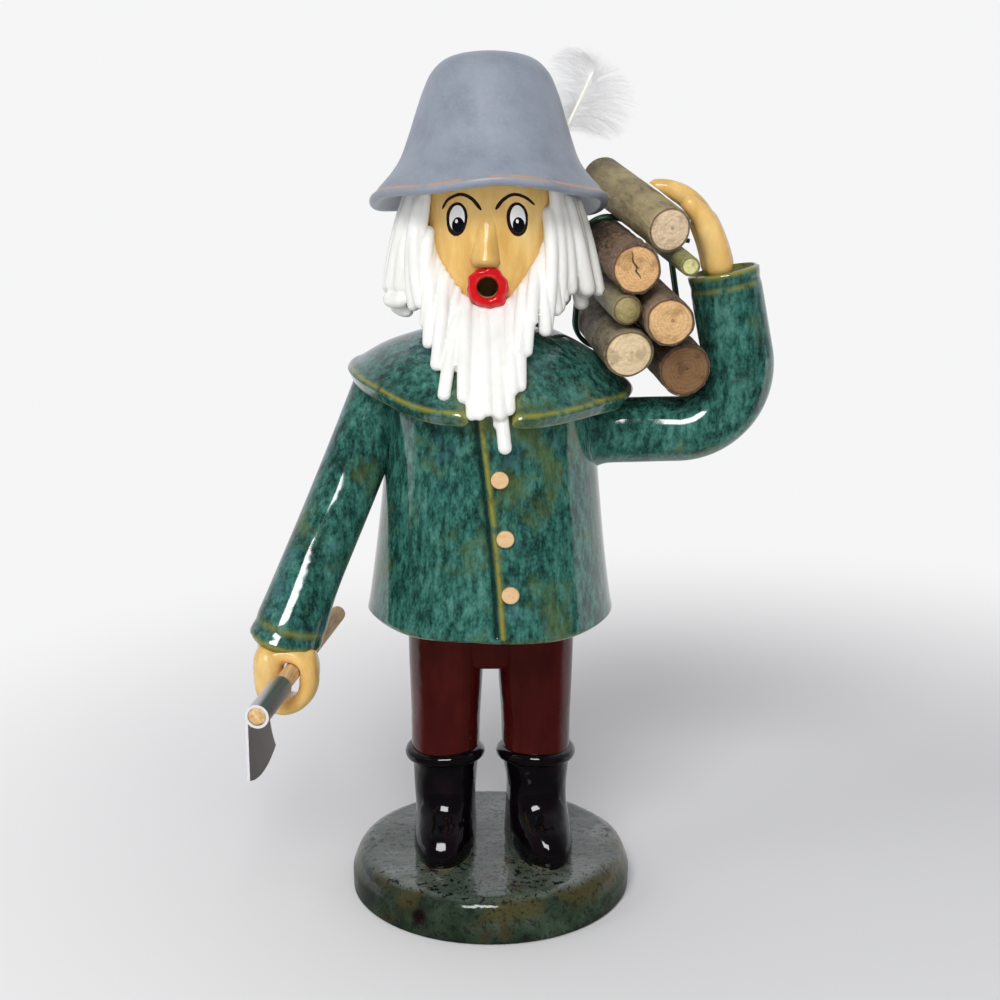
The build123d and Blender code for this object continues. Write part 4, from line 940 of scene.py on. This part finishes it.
lip_red = two_tone("lip glaze", 300.0, (0.44, 0.004, 0.008), (0.72, 0.010, 0.016), 0.09, 260.0, 0.0004)
MOUTH_X = -0.7
MOUTH_Z = 222.0
around = full_turn(120)[:, None]
roll = full_turn(32)
smear = bell(around, 0.75 * np.pi, 0.22) * 1.7 + 0.25 * np.sin(5 * around) + 0.15 * np.sin(11 * around + 1)
mid_ring = 5.15 + 0.5 * smear
fat = 1.7 + 0.5 * smear
ring_r = mid_ring + fat * np.cos(roll)
lip_front = -22.0 + 0.15 * np.sin(3 * around) - 2.0 * np.sin(roll)
lips = joined(MOUTH_X + ring_r * np.sin(around), lip_front, MOUTH_Z + ring_r * np.cos(around))
lips[..., 1] += 0.018 * (lips[..., 0] - MOUTH_X) ** 2 + 0.22 * (MOUTH_Z - lips[..., 2])
fit_on(clay_skin("lips_clay", lips, closed=True), lip_red, "upper_figure", "lip_glaze", "lips")


# Hair and beard
# Clay pushed through a sieve and laid on in strands that run together: down the cheeks and over the collar in
# front, from under the hat at the sides and back. The white glaze is thick and glossy.
white_glaze, shader, place = shader_tree("white glaze")
milk = mottle(place, 140.0, 3.0, (1.0, 1.0, 0.3))
coat(shader, shades(milk, (0.3, (0.80, 0.80, 0.755)), (0.6, (0.86, 0.86, 0.83))), 0.12)
orange_peel(shader, place, 240.0, 0.0004)

# Upper strands of the beard: the root across and up the face, and the tip
beard_guides = np.array([
    (-20, 240, -21.6, -20, 217), (-19.6, 235, -21.2, -24, 208.5), (-18.6, 231, -20.2, -27.5, 202.5),
    (-14.8, 225, -17.4, -33, 196), (-8.8, 217.6, -15, -38.5, 187), (-8, 216.8, -8.2, -41, 186.6),
    (-7.4, 215.8, -5.6, -43, 181.4), (-5, 214.4, -3.2, -43.8, 181.6), (-2.2, 213.8, -0.6, -44.2, 183),
    (0.2, 213.6, 5.2, -45.6, 170.8), (2.2, 213.8, 3.6, -44.4, 181.8), (4.6, 214.6, 6.2, -42.8, 183),
    (7, 216.4, 7.6, -40.4, 189.2), (9.4, 219, 9.8, -38.8, 190), (11.6, 221.4, 9.4, -34, 200),
    (13.6, 224, 11.8, -33, 200.6), (15.6, 227.4, 13.4, -29.4, 210), (17, 230.6, 18.2, -26.6, 206.4),
    (18.4, 235, 22.4, -20, 212.4), (19.2, 240, 24.6, -17, 216),
])
pick = np.random.default_rng(5)
guide_at = (np.arange(len(beard_guides) - 1)[:, None] + (0.33, 0.67)).ravel()
under = np.stack([np.interp(guide_at, np.arange(len(beard_guides)), column) for column in beard_guides.T], 1)
fullness = np.interp(under[:, 0], (-17, -9, -7, 6, 9, 14), (0.52, 0.55, 0.92, 0.92, 0.70, 0.58))
fullness = fullness + pick.uniform(-0.06, 0.06, len(under))
laid = np.concatenate([beard_guides, under])
sunk = np.concatenate([np.zeros(len(beard_guides)), np.full(len(under), 1.3)])
fullness = np.concatenate([np.ones(len(beard_guides)), fullness])
face_r = np.interp(laid[:, 1], face_heights, face_radii)
root_front = -np.sqrt(np.maximum(face_r**2 - laid[:, 0] ** 2, 4.0)) - 0.6
roots = joined(laid[:, 0], root_front, laid[:, 1] + 1.5)
tips = roots + (laid[:, 2:5] - roots) * fullness[:, None]
bends = 0.5 * (roots + tips) + (0.0, -2.4, 4.0)
roots[:, 1] += 0.5 * sunk
bends[:, 1] += sunk
tips[:, 1] += sunk
bends[:, 0] += pick.uniform(-0.8, 0.8, len(tips))
facing = joined(0.5 * tips[:, 0] / 20, -1.0, 0.4)
thick = np.where(sunk > 0, 1.75, 2.05) + pick.uniform(-0.1, 0.15, len(tips))
thin = np.where(sunk > 0, 1.7, 2.15) + pick.uniform(-0.15, 0.2, len(tips))
beard_shells = strands(roots, bends, tips, thick, thin, facing, 1.06, 30, 16)
beard_piece = clay_skin("beard_strands", beard_shells)
press_together(beard_piece, 0.42, 5)
fit_on(beard_piece, white_glaze, "upper_figure", "hair_glaze", "beard")


def round_head(turn, out, height):
    """A place round the head: angle in degrees from the front, distance from the axis, height."""
    turn = np.radians(turn)
    return joined(out * np.sin(turn), -out * np.cos(turn), height)


def hair_fall(seed, first, last, count, low, out, sign):
    """Strands that fall from under the hat between two angles, their tips near a low height and out from the
    axis, each a little different."""
    pick = np.random.default_rng(seed)
    turn = np.linspace(first, last, count) + pick.uniform(-1.0, 1.0, count)
    roots = round_head(sign * turn, 24.8 + pick.uniform(0, 1.6, count), 256.0)
    bends = round_head(sign * (turn + 1.0), out - 2.0 + pick.uniform(-0.6, 0.8, count), 238.0)
    tip_turn = sign * (turn + pick.uniform(-4, 3, count))
    tip_out = out + pick.uniform(-1.2, 1.4, count)
    tips = round_head(tip_turn, tip_out, low + pick.uniform(-2.5, 3.5, count))
    thick = pick.uniform(1.9, 2.5, count)
    thin = pick.uniform(1.8, 2.4, count)
    return strands(roots, bends, tips, thick, thin, round_head(sign * turn, 1.0, 0.15), 1.1)


right_locks = np.array([
    (-24.5, -9, 254, -30.5, -10, 238, -33.0, -9, 219.0, 2.6, 3.0),
    (-25.5, -4, 254, -32.0, -5, 238, -34.0, -5, 218.0, 2.6, 3.0),
    (-25.0, -7, 250, -29.0, -13, 236, -30.0, -12, 219.0, 2.6, 2.6),
    (-34.6, -8, 217.6, -32, -13, 215.8, -27.5, -14, 217.6, 3.0, 2.7),
    (-32.5, -4, 215.0, -30, -9, 212.6, -26.0, -11, 213.4, 2.7, 2.4),
    (-22.0, -13, 252, -28, -16, 234, -25.0, -17, 213.6, 2.6, 2.3),
    (-22.5, -11, 252, -27, -19, 232, -22.4, -20, 214.6, 2.4, 2.2),
])
left_locks = np.array([
    (24.5, -9, 252, 29, -12, 238, 33.4, -10, 217.8, 2.8, 3.1),
    (25.5, -6, 252, 31, -8, 238, 32.4, -6, 216.6, 2.6, 3.0),
    (29.0, -2, 250, 34, -4, 236, 37.4, -6, 217.4, 1.7, 2.3),
    (27.0, -3, 232, 30, -4, 222, 31.6, -4, 212.6, 2.2, 2.8),
    (21.0, -14, 250, 25, -17, 232, 22.8, -18, 213.0, 2.6, 2.2),
    (19.0, -15, 248, 22, -21, 230, 18.4, -25, 206.2, 2.4, 2.1),
    (22.5, -12, 250, 27, -15, 234, 27.0, -14, 218.6, 2.6, 2.4),
])
for side, sign, locks, first in (("right", -1, right_locks, 57.0), ("left", 1, left_locks, 55.0)):
    fall = hair_fall(61 + sign, first, 113.0, 19, 219.0, 29.5, sign)
    single = strand_set(locks, unit(locks[:, :3] * (1, 1, 0) + (0, -6, 0)))
    hair_piece = clay_skin(f"hair_{side}_strands", np.concatenate([fall, single]))
    press_together(hair_piece, 0.45, 4)
    fit_on(hair_piece, white_glaze, "upper_figure", "hair_glaze", f"hair_{side}")
under_fall = hair_fall(71, 110.0, 250.0, 40, 213.0, 28.2, 1)
over_fall = hair_fall(72, 114.0, 246.0, 30, 218.0, 29.2, 1)
back_piece = clay_skin("hair_back_strands", np.concatenate([under_fall, over_fall]))
press_together(back_piece, 0.55, 4)
fit_on(back_piece, white_glaze, "upper_figure", "hair_glaze", "hair_back")

# Hat
# A bell of clay set on the hair while wet and pushed a little back. The brim was pinched, so it waves, and
# the slate-blue glaze breaks to a warm pale line along its upper edge.
hat_glaze, shader, place = shader_tree("slate glaze")
slate = mottle(place, 75.0, 4.0)
blue = shades(
    slate, (0.30, (0.205, 0.235, 0.285)), (0.52, (0.255, 0.290, 0.345)), (0.76, (0.295, 0.322, 0.372))
)
fine = mottle(place, 900.0, 2.0)
blue = blended(soft_step(fine, 0.5, 0.75), blue, (0.35, 0.36, 0.39), 0.35)
warm_edge = times(mark_of(place, "edge"), soft_step(mottle(place, 140.0), 0.36, 0.56))
blue = blended(warm_edge, blue, (0.52, 0.30, 0.17), 0.85)
coat(shader, blue, 0.34)
shader.inputs["Specular IOR Level"].default_value = 0.4
orange_peel(shader, place, 90.0, 0.0006)
hat_outer = smooth_through([
    (39.7, 0.1), (37.8, 2.6), (33.6, 7.2), (30.4, 12.1), (27.7, 19.4), (25.1, 27.7), (22.8, 34.6),
    (20.0, 40.6), (15.4, 44.9), (8.2, 46.7), (0.1, 47.0),
], 110)
hat_inner = smooth_through([
    (0.1, 43.2), (9.0, 42.4), (15.6, 38.8), (21.4, 27.0), (26.8, 11.6), (30.4, 5.0), (37.2, -1.6),
], 60)
brim_turn = np.linspace(-0.72 * np.pi, 0.18 * np.pi, 14)[:, None]
brim_roll = np.concatenate([38.9 + 1.8 * np.cos(brim_turn), -0.9 + 1.75 * np.sin(brim_turn)], 1)
hat_line = np.concatenate([hat_inner, brim_roll, hat_outer[1:]])
hat = turned(hat_line, ALL_ROUND)
brim_share = np.clip((hat_line[:, 0] - 30) / 9, 0, 1)[:, None] ** 1.3 * (hat_line[:, 1] < 14)[:, None]
droop = -0.6 * np.sin(ALL_ROUND) ** 2 + 0.4 * np.sin(2 * ALL_ROUND + 0.4) + 0.7 * np.sin(5 * ALL_ROUND + 0.9)
hat[..., 2] += brim_share * droop
hat[..., :2] *= 1 + brim_share[..., None] * 0.012 * np.sin(3 * ALL_ROUND + 1.0)[:, None]
hat[..., :2] *= 1 + 0.010 * hand_wobble(hat, 50, 51)[..., None]
HAT_SEAT = 250.6
HAT_LEAN = math.radians(10.0)
hat = joined(
    hat[..., 0],
    hat[..., 1] * math.cos(HAT_LEAN) + hat[..., 2] * math.sin(HAT_LEAN),
    HAT_SEAT - hat[..., 1] * math.sin(HAT_LEAN) + hat[..., 2] * math.cos(HAT_LEAN),
)
at_edge = bell(np.arange(len(hat_line)), len(hat_inner) + len(brim_turn), 2.2)[:, None]
hat_piece = clay_skin("hat_clay", hat, edge=at_edge)
fit_on(hat_piece, hat_glaze, "upper_figure", "hat_glaze", "hat")

# Feather
# A small white down feather glued to the hat by its quill: soft loose barbs that fan out and curl.
quill_horn = two_tone("quill horn", 500.0, (0.86, 0.82, 0.68), (0.93, 0.91, 0.84), 0.35)
dress(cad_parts["feather_quill"], quill_horn)
down_white, shader, _ = shader_tree("white down")
shader.inputs["Base Color"].default_value = (0.97, 0.97, 0.97, 1.0)
shader.inputs["Roughness"].default_value = 0.8
pick = np.random.default_rng(91)
BARBS = 1300
BARB_THICK = 0.045
BARB_THIN = 0.02
fan_edge = smooth_through([
    (23.6, 272.0), (20.4, 283.0), (19.4, 294.0), (22.4, 298.8), (29.5, 299.6), (38.6, 297.2), (46.3, 290.4),
    (50.6, 282.0), (47.0, 272.0), (39.0, 268.4),
], BARBS)
share = np.linspace(0, 1, BARBS)
up_quill = np.clip(0.12 + 0.95 * (1 - np.abs(share - 0.42) / 0.58) + pick.normal(0, 0.06, BARBS), 0.05, 1.0)
quill_root = np.array([24.9, 3.7, 271.0])
quill_tip = np.array([35.5, 9.5, 293.0])
barb_roots = quill_root + up_quill[:, None] * (quill_tip - quill_root)
fluff = 1 - 0.55 * pick.uniform(0, 1, BARBS) ** 1.6
ends = joined(fan_edge[:, 0], 10.6 + pick.normal(0, 1.3, BARBS), fan_edge[:, 1])
barb_tips = barb_roots + (ends - barb_roots) * fluff[:, None] + pick.normal(0, 0.5, (BARBS, 3))
quill_way = unit(quill_tip - quill_root)
reach = np.linalg.norm(barb_tips - barb_roots, axis=1, keepdims=True)
barb_bends = 0.5 * (barb_roots + barb_tips) + quill_way * reach * pick.uniform(0.10, 0.30, (BARBS, 1))
facing = np.array([[0.0, -1.0, 0.0]])
barbs = strands(barb_roots, barb_bends, barb_tips, BARB_THICK, BARB_THIN, facing, 1.0, 9, 3)
fit_on(clay_skin("feather_down", barbs), down_white, "upper_figure", "down", "feather_vane")


# Firewood
# Real twigs sawn to one length: thin smooth or scaly bark, pale end grain with rings, a crack and a dark
# pith. They lie in the crook of the left arm.
def log_finish(name, heart, ring, bark_dark, bark_light, ring_gap, bark_scale, roughness):
    """Wood of one log from its own local places in millimetres: rings, saw marks and cracks on the sawn ends,
    bark with fissures and pores on the round, a thin dark line of inner bark between them."""
    finish, shader, place = shader_tree(name)
    place = mark_of(place, "grown", "Vector")
    spot = wire_up("SeparateXYZ", {0: place})
    bent = cloudy(place, 0.22, 2.0)
    flat = wire_up("CombineXYZ", {0: spot.outputs[0], 1: spot.outputs[1]}).outputs[0]
    gap = wire_up("VectorMath", {0: flat, 1: (0.8, 0.6, 0.0)}, operation="DISTANCE").outputs["Value"]
    gap = reckon("ADD", gap, times(bent, 2.6))
    wave = reckon("SINE", times(gap, 2 * math.pi / ring_gap))
    rings = soft_step(wave, -0.2, 1.0)
    sawn = cloudy(place, 1.3, 5.0)
    saw_lines = cloudy(drawn_out(place, (0.25, 4.0, 1.0)), 1.0, 2.0)
    patchy = cloudy(place, 0.16, 3.0)
    end = blended(rings, heart, ring, 0.36)
    end = blended(soft_step(sawn, 0.44, 0.72), end, ring, 0.5)
    dim = tuple(0.6 * part for part in ring)
    end = blended(soft_step(saw_lines, 0.52, 0.72), end, dim, 0.35)
    end = blended(soft_step(patchy, 0.48, 0.66), end, dim, 0.6)
    pith = reckon("SUBTRACT", 1.0, soft_step(gap, 1.5, 2.2))
    end = blended(pith, end, tuple(0.4 * part for part in ring), 0.6)
    # The cracks are painted near black: painted shade in their narrow gaps.
    end = blended(mark_of(place, "crack"), end, (0.020, 0.012, 0.008))
    scales = cloudy(drawn_out(place, (1.0, 1.0, 0.35)), bark_scale, 5.0, 0.65)
    bark = shades(scales, (0.34, bark_dark), (0.60, bark_light))
    mossy = cloudy(place, 0.09, 3.0)
    greyed = tuple(1.25 * part for part in bark_light)
    bark = blended(soft_step(mossy, 0.48, 0.64), bark, greyed, 0.6)
    flecks = wire_up("TexVoronoi", {"Vector": place, "Scale": 0.36}).outputs["Distance"]
    pores = reckon("SUBTRACT", 1.0, soft_step(flecks, 0.08, 0.16))
    bark = blended(pores, bark, (0.56, 0.50, 0.37), 0.85)
    colour = blended(mark_of(place, "end"), bark, end)
    colour = blended(mark_of(place, "inner_bark"), colour, (0.075, 0.028, 0.013))
    coat(shader, colour, roughness)
    emboss(shader, scales, 0.9, 0.0014)
    return finish


def grow_log(name, front, axis, length, radius, seed, knobby, domed, cracks):
    """A sawn branch: rings from the middle of the front end out to the bark, along it and in again at the
    back. The round is pushed in and out by slow and fine waves, the ends are sawn a little askew, and each
    crack is a groove from the pith out, given by its angle and its share of the radius."""
    sideways = unit(np.cross(axis, (0.0, 0.0, 1.0)))
    up = np.cross(sideways, axis)
    face = np.linspace(0.02, 0.97, 34)
    side = np.linspace(0.0, 1.0, 110)[1:-1]
    share = np.concatenate([face, [0.985, 1.0], np.ones(len(side)), [1.0, 0.985], face[::-1]])[:, None]
    level = np.zeros(len(face))
    depth = np.concatenate([level, [0.002, 0.008], side, [0.992, 0.998], level + 1])[:, None] * length
    spin = full_turn(160)
    local = joined(radius * share * np.cos(spin), radius * share * np.sin(spin), depth)
    on_round = np.clip((share - 0.4) / 0.6, 0, 1) ** 2
    swell = 0.045 * hand_wobble(local * (1, 1, 0.25), 15, seed)
    swell = swell + knobby * hand_wobble(local * (1, 1, 0.5), 3.6, seed + 1)
    local[..., :2] *= (1 + swell * on_round)[..., None]
    at_front = np.clip(1 - depth / 3.0, 0, 1)
    split = np.zeros(local.shape[:2])
    for angle, reach in cracks:
        out = local[..., 0] * math.cos(angle) + local[..., 1] * math.sin(angle)
        off = local[..., 1] * math.cos(angle) - local[..., 0] * math.sin(angle)
        off = off + 0.3 * np.sin(1.3 * out + seed)
        gape = 0.10 + 0.30 * np.clip(1 - out / (reach * radius), 0, 1)
        split = np.maximum(split, bell(off, 0, gape) * (out > 0) * (out < reach * radius) * (share < 0.97))
    askew = 0.05 * local[..., 0] * math.sin(seed) + 0.06 * local[..., 1] * math.cos(seed)
    rough = 0.10 * hand_wobble(local, 4, seed + 2) + 0.5 * split + 0.4 * share**8
    local[..., 2] += at_front * (askew + rough - domed * (1 - share**2))
    world = front + local[..., 0:1] * sideways + local[..., 1:2] * up + local[..., 2:3] * axis
    bark_share = 1 - 0.75 / radius
    inner = 0.9 * bell(share, bark_share, 0.034)
    piece = clay_skin(f"{name}_wood", world, end=share < bark_share, inner_bark=inner, crack=split)
    ends = np.stack([local[0].mean(0), local[-1].mean(0)])
    grown = np.concatenate([local.reshape(-1, 3), ends]) + seed * 37.0 * np.array([0.0, 0.0, 1.0])
    kept = piece.data.attributes.new("grown", "FLOAT_VECTOR", "POINT")
    kept.data.foreach_set("vector", grown.ravel().astype(np.float32))
    return piece


# Each log: radius, axis, knobs, dome of the front end and cracks, then ring gap, bark scale and roughness
log_kinds = {
    "log_1": (TOP_LOG_RADIUS, TOP_AXIS, 0.006, 0.0, [], (1.3, 0.5, 0.6)),
    "log_2": (8.4, LOG_AXIS, 0.026, 0.0, [(1.9, 0.75), (5.1, 0.4)], (1.0, 0.7, 0.8)),
    "log_3": (8.4, LOG_AXIS, 0.024, 0.0, [], (1.2, 0.7, 0.8)),
    "log_4": (8.3, LOG_AXIS, 0.008, 0.3, [], (1.7, 0.55, 0.6)),
    "log_5": (9.0, LOG_AXIS, 0.022, -0.8, [], (1.3, 0.8, 0.8)),
    "twig_1": (3.4, LOG_AXIS, 0.004, 0.3, [], (0.9, 0.6, 0.5)),
    "twig_2": (5.2, LOG_AXIS, 0.004, 2.2, [], (1.8, 0.5, 0.45)),
}
# Colours of each log: heart, rings, dark and light bark
log_colours = {
    "log_1": ((0.86, 0.67, 0.45), (0.70, 0.47, 0.29), (0.180, 0.146, 0.072), (0.360, 0.290, 0.150)),
    "log_2": ((0.82, 0.51, 0.235), (0.54, 0.26, 0.088), (0.050, 0.027, 0.017), (0.235, 0.150, 0.092)),
    "log_3": ((0.85, 0.55, 0.265), (0.60, 0.32, 0.115), (0.058, 0.034, 0.020), (0.245, 0.165, 0.100)),
    "log_4": ((0.82, 0.66, 0.41), (0.65, 0.46, 0.25), (0.085, 0.065, 0.040), (0.270, 0.215, 0.130)),
    # The end of log_5 is painted dark brown: painted shade, for the shadow from above that its end lies in.
    "log_5": ((0.27, 0.145, 0.062), (0.155, 0.072, 0.028), (0.055, 0.036, 0.022), (0.180, 0.125, 0.075)),
    "twig_1": ((0.78, 0.74, 0.34), (0.62, 0.60, 0.22), (0.150, 0.155, 0.045), (0.290, 0.290, 0.100)),
    "twig_2": ((0.40, 0.32, 0.14), (0.30, 0.23, 0.085), (0.120, 0.100, 0.046), (0.240, 0.205, 0.105)),
}
log_spots = {}
for name, (radius, axis, knobby, domed, cracks, looks) in log_kinds.items():
    middle, length = log_place(name, radius, axis)
    log_spots[name] = (middle @ BUNDLE_RIGHT, middle @ BUNDLE_UP)
    seed = 100 + 7 * int(name[-1]) + (50 if name[0] == "t" else 0)
    front = middle - axis * length / 2
    wood = grow_log(name, front, axis, length, 0.985 * radius, seed, knobby, domed, cracks)
    finish = log_finish(f"{name} wood", *log_colours[name], *looks)
    fit_on(wood, finish, "wood_bundle", "bark", name)

# Binding wire
# Green coated garden wire wound twice round the bundle under the top log, its ends bent out at the side.
wire_green = two_tone("wire coat", 600.0, (0.008, 0.045, 0.022), (0.022, 0.085, 0.045), 0.3)
WIRE_RADIUS = 0.85
tied = [name for name in log_kinds if name != "log_1"]
spots = np.array([log_spots[name] for name in tied])
reach = np.array([log_kinds[name][0] for name in tied]) + WIRE_RADIUS + 0.2
turn = np.radians(np.arange(20.0, 380.0, 0.5))[:, None]
normal = np.concatenate([np.cos(turn), np.sin(turn)], 1)
touched = (normal @ spots.T + reach).argmax(1)
loop = spots[touched] + reach[touched, None] * normal
loop = evenly(np.concatenate([loop, loop[:1]]), 241)[:-1]
low, high = node_box("binding_wire")
wire_depth = (low + high) / 2 @ LOG_AXIS
wound = np.concatenate([loop, loop, loop[:1]])
along = wire_depth + 2.9 * np.linspace(-1.0, 1.0, len(wound))
tail = np.linspace(7.0, 0.4, 16)[:, None]
leave = np.array([math.cos(0.9), math.sin(0.9)])
arrive = np.array([math.cos(-0.2), math.sin(-0.2)])
wound = np.concatenate([loop[0] + tail * arrive, wound, loop[0] + tail[::-1] * leave])
along = np.pad(along, len(tail), "edge")
wire_path = wound[:, :1] * BUNDLE_RIGHT + wound[:, 1:] * BUNDLE_UP + along[:, None] * LOG_AXIS
wire = rolled(evenly(wire_path, 520), WIRE_RADIUS, LOG_AXIS, full_turn(16))
fit_on(clay_skin("garden_wire", wire), wire_green, "wood_bundle", "coated_wire", "binding_wire")
